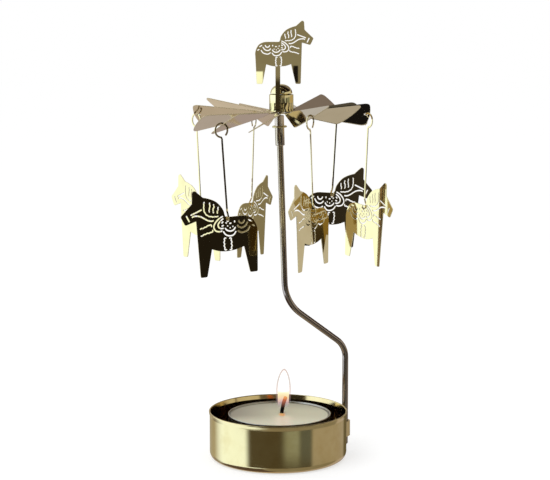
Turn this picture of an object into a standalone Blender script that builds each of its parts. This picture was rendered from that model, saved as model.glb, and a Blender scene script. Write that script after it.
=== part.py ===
"""Candle carousel: a tealight in a brass cup turns a rotor that carries six hanging horses.

Metres, +Z up. The origin is the centre of the cup's flat underside, and the rotor's pivot stands
a little to its right.
"""
import math

import bmesh
import bpy
import numpy as np
from mathutils import Matrix, Vector
from mathutils.geometry import tessellate_polygon

# Fits shared by all pieces
SEAT_GAP = 0.0003           # clear space between pieces that rest on each other
CUT_OVERRUN = 0.001         # how far a cutter stands out past what it cuts
SHEET = 0.0003              # brass sheet of the rotor and the figures

# Candle cup
CUP_RADIUS = 0.02555
CUP_HEIGHT = 0.0178
CUP_WALL = 0.0006
CUP_CORNER = 0.0026
RIM_FLARE = 0.0003
RIM_HEIGHT = 0.0012

# Strap lanced out of the cup's wall, which holds the rod
STRAP_REACH = 0.0042        # from the rod's centre line to where a leg leaves the wall
STRAP_THICKNESS = 0.0005
STRAP_BOTTOM = 0.00555
STRAP_HEIGHT = 0.0059
STRAP_SLIT = 0.0003

# Support rod
ROD_RADIUS = 0.0011
ROD_AZIMUTH = math.radians(21.4)
ROD_END = 0.00205           # height of its lower end
LOWER_KNEE = 0.04135        # height where the upright and the slope would meet
UPPER_KNEE = 0.05935
LOWER_BEND = 0.014
UPPER_BEND = 0.010
KNEE_OFFSET = 0.0016        # the upper knee stands this far from the pivot, towards the rod's foot
TOP_OFFSET = -0.0008        # and the rod's top this far, on the other side

# Sleeve, collar and needle on the rod's top
SLEEVE_RADIUS = 0.0017
SLEEVE_LENGTH = 0.0110
SLEEVE_CLEARANCE = 0.00075  # from its top up to the rotor's sheet
ROD_DROP = 0.0015           # from the sleeve's top down to the rod's top
SLEEVE_ROUND = 0.0006
COLLAR_RADIUS = 0.0027
COLLAR_HEIGHT = 0.0007
COLLAR_DROP = 0.0041        # from the sleeve's top down to its middle
NEEDLE_RADIUS = 0.0004
NEEDLE_POINT = 0.0016       # length of the ground point

# Rotor
HUB_X = 0.00117             # the pivot's place beside the cup's centre
ROTOR_LEVEL = 0.12855       # height of the sheet's middle
ROTOR_RADIUS = 0.033
HUB_RADIUS = 0.0054         # where the blades leave the flat hub
HUB_HOLE = 0.0032
TWIST_END = 0.0090          # where a blade reaches its full pitch
BLADE_SLOT = 0.0013
BLADE_CORNER = 0.0021
HANG_EDGE = 0.0020          # from a hanging hole's centre to the rotor's edge
HANG_HOLE = 0.0010          # its radius

# Hub cap above the rotor, in two pieces, and the bearing inside
CAP_RADIUS = 0.0044
CAP_WALL = 0.0004
CAP_HEIGHT = 0.0063
DOME_RADIUS = 0.00415
DOME_HEIGHT = 0.0037
BEARING_RADIUS = 0.0016
BEARING_HEIGHT = 0.0014
BEARING_DIMPLE = 0.0007     # depth of the hollow that the needle's point stands in

# Horse figures
HORSE_HEIGHT = 0.0311
TOP_HORSE_HEIGHT = 0.0227
FIGURE_ASPECT = 0.925       # length over height
HOOF_ROUND = 0.0006
PATTERN_SLOT = 0.0005
BACK_HOLE = 0.00065         # radius of the hole that the hook wire holds
BACK_HOLE_DROP = 0.0013     # its centre below the back's edge
BACK_HOLE_SHARE = 0.388     # its place along the horse, from the tail
STALK_LENGTH = 0.01025      # from the hub up to the top horse's hooves
STALK_WIDTH = 0.00173
STALK_SHARE = 0.388         # its middle along the top horse
STALK_X = -0.0013           # its middle beside the pivot
STALK_FOOT = 0.0012         # length of the foot that lies on the hub

# Hook wires
WIRE_RADIUS = 0.0003
RING_RADIUS = 0.00245
WIRE_LENGTH = 0.0320        # from the ring's centre to the horse's hole
RING_OPEN = math.radians(232)
RING_CLOSE = math.radians(-84)
LOOP_RADIUS = 0.000975
LOOP_RISE = 0.0014          # above the loop, where the wire leaves the horse's plane

# Tealight
TEALIGHT_X = 0.0005
TEALIGHT_RADIUS = 0.0190
TEALIGHT_HEIGHT = 0.0158
TEALIGHT_WALL = 0.0003
TEALIGHT_CORNER = 0.0012
TEALIGHT_LIP = 0.0004
WAX_DROP = 0.0007           # from the lip down to the wax
WICK_RADIUS = 0.0007
WICK_X = 0.0009             # the wick's place beside the tealight's centre
WICK_Y = 0.0022
WICK_STAND = 0.0064         # free length above the wax
WICK_BEND = 0.0016
SUSTAINER_RADIUS = 0.0068
SUSTAINER_NECK = 0.0014
SUSTAINER_HEIGHT = 0.0040

# The blades as they were bent by hand: bearing, lift from the hub's plane and pitch, in degrees
blade_bends = ((-10, -0.6, 28), (20, -2.0, 30), (50, 1.7, 38), (80, 1.0, 30), (110, -5.8, 37),
               (140, 2.0, 30), (170, -2.0, 30), (200, -7.0, 26), (230, -5.7, 30), (260, -3.2, 30),
               (290, 1.1, 29), (320, 1.3, 23))

# How the six horses hang on their hand-bent wires: the blade's bearing, the nose's bearing, and
# the ring's turn and the wire's lean against the horse, in degrees
hangings = ((-10, -58, 0, -1), (50, 27, 0, -2), (110, 63, 9, 0), (170, 131, 0, 2),
            (230, 203, 12, 1), (290, 240, 0, 2))
wire_length_shares = (1.012, 1.0, 1.02, 1.0, 1.0, 1.0)

# Figure outline, as shares of its length from the tail and of its height from the hooves.
# "bend" points lie on a smooth stretch, "round" ones are eased corners, the others are sharp.
rear_leg_shares = ((0.025, 0.0, "round"), (0.126, 0.0, "round"), (0.190, 0.308, "sharp"))
belly_shares = ((0.268, 0.286, "bend"), (0.350, 0.275, "bend"), (0.440, 0.272, "bend"),
                (0.530, 0.285, "bend"))
front_leg_shares = ((0.614, 0.312, "sharp"), (0.692, 0.0, "round"), (0.781, 0.0, "round"))
head_shares = ((0.800, 0.650, "sharp"), (0.944, 0.612, "round"), (1.0, 0.720, "round"),
               (0.944, 0.766, "bend"), (0.845, 0.852, "sharp"), (0.836, 0.985, "round"),
               (0.800, 1.0, "round"), (0.697, 0.913, "sharp"))
mane_shares = ((0.614, 0.890, "bend"), (0.532, 0.852, "bend"), (0.474, 0.798, "bend"),
               (0.437, 0.741, "bend"), (0.424, 0.690, "bend"), (0.408, 0.664, "sharp"))
back_shares = ((0.284, 0.664, "bend"), (0.160, 0.660, "bend"), (0.075, 0.628, "bend"),
               (0.025, 0.567, "bend"), (0.0, 0.490, "bend"), (0.004, 0.400, "bend"))

# Lines pierced through a figure, as the same shares
pattern_shares = {
    "collar": ((0.672, 0.871), (0.692, 0.817), (0.672, 0.748), (0.614, 0.706), (0.503, 0.702)),
    "mane_front": ((0.616, 0.848), (0.632, 0.748)),
    "mane_middle": ((0.556, 0.834), (0.577, 0.734)),
    "mane_rear": ((0.502, 0.803), (0.524, 0.730)),
    "cheek": ((0.725, 0.791), (0.882, 0.726)),
    "bridle": ((0.870, 0.693), (0.820, 0.718), (0.765, 0.716), (0.672, 0.660), (0.585, 0.646)),
    "nose_band": ((0.930, 0.735), (0.900, 0.662)),
    "chest_upper": ((0.756, 0.556), (0.640, 0.602), (0.612, 0.583)),
    "chest_lower": ((0.746, 0.488), (0.632, 0.518), (0.604, 0.545)),
    "shoulder_outer": ((0.466, 0.682), (0.535, 0.650), (0.583, 0.590), (0.565, 0.527),
                       (0.500, 0.516)),
    "shoulder_middle": ((0.465, 0.645), (0.515, 0.620), (0.534, 0.585), (0.510, 0.560),
                        (0.462, 0.560)),
    "shoulder_inner": ((0.458, 0.616), (0.484, 0.602), (0.472, 0.585)),
    "saddle_outer": ((0.300, 0.497), (0.335, 0.455), (0.383, 0.445), (0.430, 0.458),
                     (0.456, 0.500)),
    "saddle_middle": ((0.306, 0.545), (0.338, 0.513), (0.383, 0.502), (0.416, 0.514),
                      (0.428, 0.543)),
    "saddle_inner": ((0.340, 0.582), (0.366, 0.553), (0.395, 0.553), (0.412, 0.580)),
    "rump_outer": ((0.103, 0.540), (0.135, 0.495), (0.194, 0.475), (0.240, 0.478),
                   (0.264, 0.494)),
    "rump_middle": ((0.138, 0.574), (0.163, 0.538), (0.204, 0.522), (0.245, 0.530),
                    (0.266, 0.552)),
    "rump_inner": ((0.170, 0.602), (0.203, 0.566), (0.240, 0.592)),
    "rump_dash_upper": ((0.107, 0.600), (0.056, 0.572)),
    "rump_dash_lower": ((0.066, 0.540), (0.030, 0.531)),
    "girth_rear": ((0.388, 0.412), (0.366, 0.358), (0.388, 0.303)),
    "girth_front": ((0.436, 0.412), (0.458, 0.358), (0.436, 0.303)),
}


def clear_scene():
    for item in list(bpy.data.objects):
        bpy.data.objects.remove(item, do_unlink=True)


def finish(name, colour, roughness, metallic):
    """Principled material of one piece."""
    look = bpy.data.materials.new(name)
    look.use_nodes = True
    shader = look.node_tree.nodes["Principled BSDF"]
    shader.inputs["Base Color"].default_value = (*colour, 1.0)
    shader.inputs["Roughness"].default_value = roughness
    shader.inputs["Metallic"].default_value = metallic
    return look


def place(name, data, look, parent=None, location=(0, 0, 0)):
    """Object of a mesh or curve with its own material, in the scene and under its parent."""
    piece = bpy.data.objects.new(name, data)
    data.materials.append(look)
    bpy.context.scene.collection.objects.link(piece)
    piece.parent = parent
    piece.location = location
    return piece


def pivot(name, location, rotation=(0, 0, 0)):
    """Empty on a joint's axis."""
    empty = bpy.data.objects.new(name, None)
    bpy.context.scene.collection.objects.link(empty)
    empty.location = location
    empty.rotation_euler = rotation
    return empty


def mesh_of(bm, name, smooth=False):
    bmesh.ops.recalc_face_normals(bm, faces=bm.faces)
    mesh = bpy.data.meshes.new(name)
    bm.to_mesh(mesh)
    bm.free()
    if smooth:
        mesh.shade_smooth()
        mesh.set_sharp_from_angle(angle=math.radians(35))
    return mesh


def arc(centre, radius, start, end, steps):
    """Points along an arc, both ends included; angles run anticlockwise from +X."""
    angles = np.linspace(start, end, steps + 1)
    return [(centre[0] + radius * math.cos(a), centre[1] + radius * math.sin(a)) for a in angles]


def turned(name, profile, steps=48):
    """Solid of revolution about Z of (radius, height) points. A profile that starts and ends on
    the axis closes there, any other is a ring."""
    bm = bmesh.new()
    angles = [math.tau * step / steps for step in range(steps)]
    rings = []
    for radius, height in profile:
        if radius == 0:
            rings.append([bm.verts.new((0, 0, height))])
        else:
            rings.append([bm.verts.new((radius * math.cos(a), radius * math.sin(a), height))
                          for a in angles])
    following = rings[1:] + (rings[:1] if profile[0][0] else [])
    for upper, lower in zip(rings, following):
        for step in range(steps):
            after = step + 1
            corners = (upper[step % len(upper)], upper[after % len(upper)],
                       lower[after % len(lower)], lower[step % len(lower)])
            if len(set(corners)) > 2:
                bm.faces.new(list(dict.fromkeys(corners)))
    return mesh_of(bm, name, smooth=True)


def plate(name, loops, thickness):
    """Flat sheet in the XZ plane: the first loop is its outline and the others are holes."""
    points = [point for loop in loops for point in loop]
    triangles = tessellate_polygon([[Vector((x, z, 0)) for x, z in loop] for loop in loops])
    bm = bmesh.new()
    sides = []
    for y in (-thickness / 2, thickness / 2):
        side = [bm.verts.new((x, y, z)) for x, z in points]
        for triangle in triangles:
            bm.faces.new([side[index] for index in triangle])
        sides.append(side)
    front, back = sides
    start = 0
    for loop in loops:
        for index in range(len(loop)):
            here = start + index
            after = start + (index + 1) % len(loop)
            bm.faces.new((front[here], front[after], back[after], back[here]))
        start += len(loop)
    return mesh_of(bm, name)


def tube(name, points, radius, roundness):
    """Curve swept by a round section along computed points, with closed ends."""
    curve = bpy.data.curves.new(name, "CURVE")
    curve.dimensions = "3D"
    spline = curve.splines.new("POLY")
    spline.points.add(len(points) - 1)
    for knot, point in zip(spline.points, points):
        knot.co = (*point, 1.0)
    curve.bevel_depth = radius
    curve.bevel_resolution = roundness
    curve.use_fill_caps = True
    return curve


def boolean(piece, tool, operation):
    """Cut or join a piece with a tool, which stays in the scene as a hidden guide."""
    tool.hide_render = True
    tool.display_type = "WIRE"
    step = piece.modifiers.new(tool.name, "BOOLEAN")
    step.operation = operation
    step.object = tool
    step.solver = "EXACT"


def box(name, low, high):
    bm = bmesh.new()
    bmesh.ops.create_cube(bm, size=1)
    size = Vector(high) - Vector(low)
    middle = (Vector(high) + Vector(low)) / 2
    bmesh.ops.transform(bm, matrix=Matrix.Translation(middle) @ Matrix.Diagonal((*size, 1)),
                        verts=bm.verts)
    return mesh_of(bm, name)


def smooth_run(knots, samples):
    """Catmull-Rom curve through a run of points, which ends at its first and last ones."""
    padded = [knots[0]] + list(knots) + [knots[-1]]
    points = [knots[0]]
    for a, b, c, d in zip(padded, padded[1:], padded[2:], padded[3:]):
        for sample in range(1, samples + 1):
            t = sample / samples
            weights = (-t + 2 * t * t - t ** 3, 2 - 5 * t * t + 3 * t ** 3,
                       t + 4 * t * t - 3 * t ** 3, t ** 3 - t * t)
            points.append(tuple(sum(w * p[axis] for w, p in zip(weights, (a, b, c, d))) / 2
                                for axis in (0, 1)))
    return points


def eased_corner(before, corner, after, size):
    """Three points that round one corner off, starting a given length from it."""
    middle = Vector(corner)
    start = middle + (Vector(before) - middle).normalized() * size
    end = middle + (Vector(after) - middle).normalized() * size
    return [tuple(start), tuple((start + end) / 4 + middle / 2), tuple(end)]


def band(path, width):
    """Outline of a stroke of one width along a path of points."""
    points = [Vector(point) for point in path]
    left, right = [], []
    for index, point in enumerate(points):
        ahead = points[min(index + 1, len(points) - 1)]
        behind = points[max(index - 1, 0)]
        into = (point - behind).normalized() if index else (ahead - point).normalized()
        out = (ahead - point).normalized() if index < len(points) - 1 else into
        normal = Vector((-(into + out).y, (into + out).x)).normalized()
        stretch = 1 / max(normal.dot(Vector((-into.y, into.x))), 0.5)
        left.append(tuple(point + normal * width / 2 * stretch))
        right.append(tuple(point - normal * width / 2 * stretch))
    return left + right[::-1]


def figure_loops(height, stalk_drop=None):
    """Outline and pierced lines of a horse, from its tail's and hooves' corner, nose towards +X.
    A stalk of the given length below the hooves makes it the top horse."""
    length = height * FIGURE_ASPECT
    belly = [(u * length, v * height, kind) for u, v, kind in belly_shares]
    if stalk_drop is not None:
        middle = STALK_SHARE * length
        sides = (middle - STALK_WIDTH / 2, middle + STALK_WIDTH / 2)
        seat = belly[1][1]
        belly = [belly[0], (sides[0], seat, "sharp"), (sides[0], -stalk_drop, "sharp"),
                 (sides[1], -stalk_drop, "sharp"), (sides[1], seat, "sharp"), belly[3]]
    marks = [(u * length, v * height, kind) for u, v, kind in rear_leg_shares] + belly
    for shares in (front_leg_shares, head_shares, mane_shares, back_shares):
        marks += [(u * length, v * height, kind) for u, v, kind in shares]
    outline = []
    marks.append(marks[0])
    run = [marks[0][:2]]
    for x, z, kind in marks[1:]:
        run.append((x, z))
        if kind != "bend":
            outline += smooth_run(run, 2)[:-1] if len(run) > 2 else run[:-1]
            run = [(x, z)]
    corners = {mark[:2] for mark in marks if mark[2] == "round"}
    eased = []
    for before, point, after in zip(outline[-1:] + outline[:-1], outline, outline[1:] + outline[:1]):
        eased += eased_corner(before, point, after, HOOF_ROUND) if point in corners else [point]
    scale = height / HORSE_HEIGHT
    slots = [band([(u * length, v * height) for u, v in path], PATTERN_SLOT * scale)
             for path in pattern_shares.values()]
    return [eased] + slots


def cup_profile():
    """Cup section: underside, rounded corner, wall, flared rim, and back down inside."""
    inner = CUP_RADIUS - CUP_WALL
    corner = arc((CUP_RADIUS - CUP_CORNER, CUP_CORNER), CUP_CORNER, -math.pi / 2, 0, 3)
    inside = arc((CUP_RADIUS - CUP_CORNER, CUP_CORNER), CUP_CORNER - CUP_WALL, 0, -math.pi / 2, 3)
    rim = [(CUP_RADIUS, CUP_HEIGHT - RIM_HEIGHT), (CUP_RADIUS + RIM_FLARE, CUP_HEIGHT),
           (inner + RIM_FLARE, CUP_HEIGHT), (inner, CUP_HEIGHT - RIM_HEIGHT)]
    return [(0, 0)] + corner + rim + inside + [(0, CUP_WALL)]


def rod_place():
    """Distance of the rod's upright from the cup's axis."""
    return CUP_RADIUS + RIM_FLARE + SEAT_GAP + ROD_RADIUS


def make_cup(look):
    cup = place("candle_cup", turned("candle_cup", cup_profile(), 48), look)
    turn_to_rod = Matrix.Rotation(ROD_AZIMUTH - math.pi / 2, 4, "Z")
    strap_top = STRAP_BOTTOM + STRAP_HEIGHT
    opening = STRAP_REACH - STRAP_THICKNESS
    window = place("strap_window", box("strap_window",
                   (-opening, CUP_RADIUS - CUP_WALL - CUT_OVERRUN, STRAP_BOTTOM - STRAP_SLIT),
                   (opening, CUP_RADIUS + CUT_OVERRUN, strap_top + STRAP_SLIT)), look)
    window.matrix_world = turn_to_rod
    boolean(cup, window, "DIFFERENCE")
    reach = ROD_RADIUS + SEAT_GAP + STRAP_THICKNESS / 2
    anchor = (STRAP_REACH, CUP_RADIUS - CUP_WALL / 2 - rod_place())
    touch = math.atan2(anchor[1], anchor[0]) + math.acos(reach / math.hypot(*anchor))
    over = arc((0, rod_place()), reach, touch, math.pi - touch, 6)
    path = [(anchor[0], anchor[1] + rod_place())] + over + [(-anchor[0], anchor[1] + rod_place())]
    strip = plate("strap", [band(path, STRAP_THICKNESS)], STRAP_HEIGHT)
    strap = place("strap", strip, look)
    upright = Matrix.Translation((0, 0, STRAP_BOTTOM + STRAP_HEIGHT / 2)) @ turn_to_rod
    strap.matrix_world = upright @ Matrix.Rotation(-math.pi / 2, 4, "X")
    boolean(cup, strap, "UNION")


def rod_frame():
    """Foot of the rod, and the level direction from the pivot towards it."""
    foot = Vector((rod_place() * math.cos(ROD_AZIMUTH), rod_place() * math.sin(ROD_AZIMUTH)))
    away = foot - Vector((HUB_X, 0))
    return away.length, away.normalized()


def on_rod_plane(offset, height):
    towards = rod_frame()[1]
    return Vector((HUB_X + towards.x * offset, towards.y * offset, height))


def bent(corners, radii, steps):
    """Path through corners, each turned on an arc of its own radius."""
    points = [corners[0]]
    for before, corner, after, radius in zip(corners, corners[1:], corners[2:], radii):
        into = (corner - before).normalized()
        out = (after - corner).normalized()
        half = into.angle(out) / 2
        centre = corner + (out - into).normalized() * radius / math.cos(half)
        start = corner - into * radius * math.tan(half)
        axis = into.cross(out).normalized()
        for step in range(steps + 1):
            turn = Matrix.Rotation(2 * half * step / steps, 3, axis)
            points.append(centre + turn @ (start - centre))
    return points + [corners[-1]]


def sleeve_top():
    return ROTOR_LEVEL - SHEET / 2 - SLEEVE_CLEARANCE


def rod_top():
    return sleeve_top() - ROD_DROP


def lean_line(height):
    """Point of the rod's leaning top stretch at a height."""
    share = (height - UPPER_KNEE) / (rod_top() - UPPER_KNEE)
    return on_rod_plane(KNEE_OFFSET + (TOP_OFFSET - KNEE_OFFSET) * share, height)


def along_rod_top(piece, height):
    """Stand a turned piece on the rod's leaning top stretch, its zero at a height."""
    start = lean_line(height)
    direction = lean_line(rod_top()) - lean_line(UPPER_KNEE)
    turn = direction.to_track_quat("Z", "Y").to_matrix().to_4x4()
    piece.matrix_world = Matrix.Translation(start) @ turn


def make_rod(look):
    span = rod_frame()[0]
    corners = [on_rod_plane(span, ROD_END), on_rod_plane(span, LOWER_KNEE),
               on_rod_plane(KNEE_OFFSET, UPPER_KNEE), lean_line(rod_top())]
    path = bent(corners, (LOWER_BEND, UPPER_BEND), 7)
    place("support_rod", tube("support_rod", path, ROD_RADIUS, 3), look)


def make_sleeve(look):
    """Tube over the rod's end, closed at its top by the seat of the needle."""
    length = SLEEVE_LENGTH
    bore = ROD_RADIUS + SEAT_GAP
    seat = length - ROD_DROP + SEAT_GAP
    socket = NEEDLE_RADIUS + SEAT_GAP
    lip = [(bore, 0)] + arc((SLEEVE_RADIUS - SLEEVE_ROUND / 2, SLEEVE_ROUND / 2),
                            SLEEVE_ROUND / 2, -math.pi / 2, 0, 3)
    profile = lip + [(SLEEVE_RADIUS, length), (socket, length), (socket, seat), (bore, seat)]
    sleeve = place("rod_sleeve", turned("rod_sleeve", profile, 24), look)
    along_rod_top(sleeve, sleeve_top() - SLEEVE_LENGTH)


def make_sleeve_collar(look):
    inner = SLEEVE_RADIUS + SEAT_GAP
    half = (COLLAR_RADIUS - inner) / 2
    centre = (inner + half, 0)
    section = [(centre[0] + half * math.cos(a), COLLAR_HEIGHT / 2 * math.sin(a))
               for a in (math.tau * step / 6 for step in range(6))]
    collar = place("sleeve_collar", turned("sleeve_collar", section, 20), look)
    along_rod_top(collar, sleeve_top() - COLLAR_DROP)


def needle_tip():
    """The pivot point: it stands in the bearing's hollow, on the rotor's axis."""
    return Vector((HUB_X, 0, bearing_level() + BEARING_DIMPLE - SEAT_GAP))


def make_needle(look):
    base = lean_line(rod_top()) + Vector((0, 0, SEAT_GAP))
    shaft = needle_tip() - base
    length = shaft.length
    profile = [(0, length), (NEEDLE_RADIUS, length - NEEDLE_POINT), (NEEDLE_RADIUS, 0), (0, 0)]
    needle = place("pivot_needle", turned("pivot_needle", profile, 16), look)
    turn = shaft.to_track_quat("Z", "Y").to_matrix().to_4x4()
    needle.matrix_world = Matrix.Translation(base) @ turn


def blade_half_width(x):
    """Half width of a blade at a distance from the axis: half its sector less half a slot."""
    sector = math.pi / len(blade_bends)
    return x * math.tan(sector) - BLADE_SLOT / 2 / math.cos(sector)


def blade_point(bend, x, w):
    """Point of a bent blade at length x and width w on its flat blank."""
    bearing, lift, full_pitch = (math.radians(angle) for angle in bend)
    t = min(max((x - HUB_RADIUS) / (TWIST_END - HUB_RADIUS), 0), 1)
    pitch = full_pitch * t * t * (3 - 2 * t)
    along = Vector((math.cos(bearing), math.sin(bearing), 0))
    across = Vector((-math.sin(bearing), math.cos(bearing), 0))
    rise = w * math.sin(pitch) + (x - HUB_RADIUS) * math.tan(lift)
    return along * x + across * w * math.cos(pitch) + Vector((0, 0, rise))


def blade_tip_outline():
    """Flat outer part of a blade, from the end of its twist: straight sides, eased corners and
    the rotor's rim."""
    sector = math.pi / len(blade_bends)
    side = sector - math.asin(BLADE_SLOT / 2 / ROTOR_RADIUS)
    corner = (ROTOR_RADIUS * math.cos(side), ROTOR_RADIUS * math.sin(side))
    rim_share = 1 - BLADE_CORNER / ROTOR_RADIUS / side
    rim = arc((0, 0), ROTOR_RADIUS, -side * rim_share, side * rim_share, 6)
    root = blade_half_width(TWIST_END)
    lower = eased_corner((TWIST_END, -root), (corner[0], -corner[1]), rim[0], BLADE_CORNER)
    upper = eased_corner(rim[-1], corner, (TWIST_END, root), BLADE_CORNER)
    return [(TWIST_END, root), (TWIST_END, 0), (TWIST_END, -root)] + lower[:2] + rim + upper[1:]


def hang_hole_outline():
    return arc((ROTOR_RADIUS - HANG_EDGE, 0), HANG_HOLE, 0, math.tau, 10)[:-1]


def make_rotor(look, parent):
    """One stamped sheet: a hub with a hole, and blades twisted out of its plane."""
    bm = bmesh.new()
    hanging = {row[0] for row in hangings}
    hub_rim, hub_hole = [], []
    stations = np.linspace(HUB_RADIUS, TWIST_END, 4)
    for bend in blade_bends:
        rows = []
        for x in stations:
            half = blade_half_width(x)
            rows.append([bm.verts.new(blade_point(bend, x, w)) for w in (-half, 0, half)])
        for row, after in zip(rows, rows[1:]):
            for side in (0, 1):
                bm.faces.new((row[side], after[side], after[side + 1], row[side + 1]))
        loops = [blade_tip_outline()]
        if bend[0] in hanging:
            loops.append(hang_hole_outline())
        flat = [point for loop in loops for point in loop]
        verts = rows[-1][::-1] + [bm.verts.new(blade_point(bend, *point)) for point in flat[3:]]
        for triangle in tessellate_polygon([[Vector((*point, 0)) for point in loop]
                                            for loop in loops]):
            bm.faces.new([verts[corner] for corner in triangle])
        for vert in rows[0]:
            hub_rim.append(vert)
            hub_hole.append(bm.verts.new(vert.co.normalized() * HUB_HOLE))
    for index in range(len(hub_rim)):
        after = (index + 1) % len(hub_rim)
        bm.faces.new((hub_hole[index], hub_rim[index], hub_rim[after], hub_hole[after]))
    rotor = place("rotor_blades", mesh_of(bm, "rotor_blades"), look, parent,
                  (0, 0, ROTOR_LEVEL - tip_level()))
    thicken = rotor.modifiers.new("sheet", "SOLIDIFY")
    thicken.thickness = SHEET
    thicken.offset = 0
    thicken.use_even_offset = True


def cap_level():
    """Underside of the hub cap, which rests on the rotor's hub."""
    return ROTOR_LEVEL + SHEET / 2 + SEAT_GAP


def dome_top():
    return cap_level() + CAP_HEIGHT + DOME_HEIGHT


def bearing_level():
    """Underside of the bearing, which is seated under the dome."""
    return dome_top() - CAP_WALL - SEAT_GAP - BEARING_HEIGHT


def tip_level():
    return needle_tip().z


def make_hub_collar(look, parent):
    """Tube on the hub, with a shoulder inside its top that carries the dome."""
    inner = CAP_RADIUS - CAP_WALL
    bottom = cap_level() - tip_level()
    top = bottom + CAP_HEIGHT
    profile = [(inner, bottom), (CAP_RADIUS, bottom), (CAP_RADIUS, top), (DOME_RADIUS, top),
               (inner, top - CAP_WALL)]
    place("hub_collar", turned("hub_collar", profile, 28), look, parent)


def dome_section(radius, height, base):
    """Quarter ellipse from the rim of a dome up to its top."""
    points = arc((0, 0), 1, 0, math.pi / 2, 5)[:-1]
    return [(radius * x, base + height * z) for x, z in points] + [(0, base + height)]


def make_hub_dome(look, parent):
    base = cap_level() + CAP_HEIGHT + SEAT_GAP - tip_level()
    height = dome_top() - tip_level() - base
    outside = dome_section(DOME_RADIUS - SEAT_GAP / 2, height, base)
    inside = dome_section(DOME_RADIUS - CAP_WALL - SEAT_GAP, height - CAP_WALL, base)
    place("hub_dome", turned("hub_dome", outside[::-1] + inside, 28), look, parent)


def make_bearing(look, parent):
    """Small cup under the dome, with the hollow that turns on the needle."""
    bottom = bearing_level() - tip_level()
    top = bottom + BEARING_HEIGHT
    shoulder = (BEARING_RADIUS / 2, top)
    profile = [(0, top), shoulder, (BEARING_RADIUS, top - BEARING_HEIGHT / 3),
               (BEARING_RADIUS, bottom), (BEARING_DIMPLE, bottom), (0, bottom + BEARING_DIMPLE)]
    place("pivot_bearing", turned("pivot_bearing", profile, 24), look, parent)


def make_top_horse(look, parent):
    """Figure on a flat stalk that runs down before the hub cap and stands on a bent foot."""
    height = TOP_HORSE_HEIGHT
    front = CAP_RADIUS + SEAT_GAP + SHEET / 2
    foot_level = cap_level() - tip_level()
    drop = STALK_LENGTH - SHEET / 2
    figure = plate("top_horse", figure_loops(height, drop), SHEET)
    spot = (STALK_X - STALK_SHARE * height * FIGURE_ASPECT, -front, foot_level + STALK_LENGTH)
    horse = place("top_horse", figure, look, parent, spot)
    half_foot = STALK_WIDTH / 2 + SHEET / 3
    foot = place("stalk_foot", box("stalk_foot",
                 (STALK_X - half_foot, -front - STALK_FOOT, foot_level),
                 (STALK_X + half_foot, -front + SHEET / 3, foot_level + SHEET)), look, parent)
    boolean(horse, foot, "UNION")


def wire_path(hole, ring_turn):
    """Hook wire from its open ring, down the shank and once through the hole in a horse's back.
    The ring's centre is zero, the nose lies towards +X and the sheet in the XZ plane."""
    turn = Matrix.Rotation(ring_turn, 3, "Z")
    ring = [turn @ Vector((RING_RADIUS * math.cos(a), 0, RING_RADIUS * math.sin(a)))
            for a in np.linspace(RING_OPEN, RING_CLOSE, 13)]
    down = hole.normalized()
    start = down * (RING_RADIUS + 2 * WIRE_RADIUS)
    up = Vector((0, 0, 1))
    out = Vector((0, 1, 0))
    loop_centre = hole + up * LOOP_RADIUS
    shank_end = loop_centre - down * (LOOP_RADIUS + LOOP_RISE)
    entry = [shank_end, loop_centre + up * 1.5 * LOOP_RADIUS + out * 0.35 * LOOP_RADIUS,
             loop_centre + up * 0.55 * LOOP_RADIUS + out * 0.85 * LOOP_RADIUS]
    loop = [loop_centre + out * LOOP_RADIUS * math.cos(a) + up * LOOP_RADIUS * math.sin(a)
            for a in np.linspace(0, -math.radians(205), 7)]
    return ring + [start] + entry + loop


def horse_mesh(name, hang):
    """Hanging figure in the wire's frame, with the round hole in its back at a given place."""
    height = HORSE_HEIGHT
    length = height * FIGURE_ASPECT
    back = back_shares[0][1] * height
    hole = (BACK_HOLE_SHARE * length, back - BACK_HOLE_DROP)
    loops = figure_loops(height) + [arc(hole, BACK_HOLE, 0, math.tau, 8)[:-1]]
    moved = [[(x + hang.x - hole[0], z + hang.z - hole[1]) for x, z in loop] for loop in loops]
    return plate(name, moved, SHEET)


def volume_moment(piece):
    """Volume of a closed piece times its centre, in its own frame."""
    graph = bpy.context.evaluated_depsgraph_get()
    mesh = piece.evaluated_get(graph).to_mesh()
    mesh.calc_loop_triangles()
    corners = np.array([[mesh.vertices[index].co for index in face.vertices]
                        for face in mesh.loop_triangles])
    volumes = np.einsum("ij,ij->i", corners[:, 0], np.cross(corners[:, 1], corners[:, 2])) / 6
    moment = (volumes[:, None] * corners.sum(axis=1) / 4).sum(axis=0)
    piece.to_mesh_clear()
    return moment


def ring_centre(bend, facing):
    """Where a hook's ring hangs: its wire passes down through the blade's hole and up past the
    rotor's edge, so the sheet between them is a chord near the top of the ring."""
    hole = blade_point(bend, ROTOR_RADIUS - HANG_EDGE, 0)
    outward = blade_point(bend, ROTOR_RADIUS, 0) - hole
    sideways = blade_point(bend, ROTOR_RADIUS - HANG_EDGE, HANG_EDGE) - hole
    normal = outward.cross(sideways).normalized()
    level = Vector((math.cos(facing), math.sin(facing), 0))
    chord = (level - Vector((0, 0, level.dot(normal) / normal.z))).normalized()
    across = Vector((-level.x * chord.z, -level.y * chord.z, level.dot(chord)))
    to_edge = HANG_EDGE / chord.dot(outward.normalized()) + 2 * WIRE_RADIUS + SEAT_GAP
    depth = RING_RADIUS - (WIRE_RADIUS + SHEET / 2 + SEAT_GAP) / across.dot(normal)
    half = max(to_edge / 2, math.sqrt(RING_RADIUS ** 2 - depth ** 2))
    depth = math.sqrt(RING_RADIUS ** 2 - half ** 2)
    return hole + chord * half - across * depth + Vector((HUB_X, 0, ROTOR_LEVEL))


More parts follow.
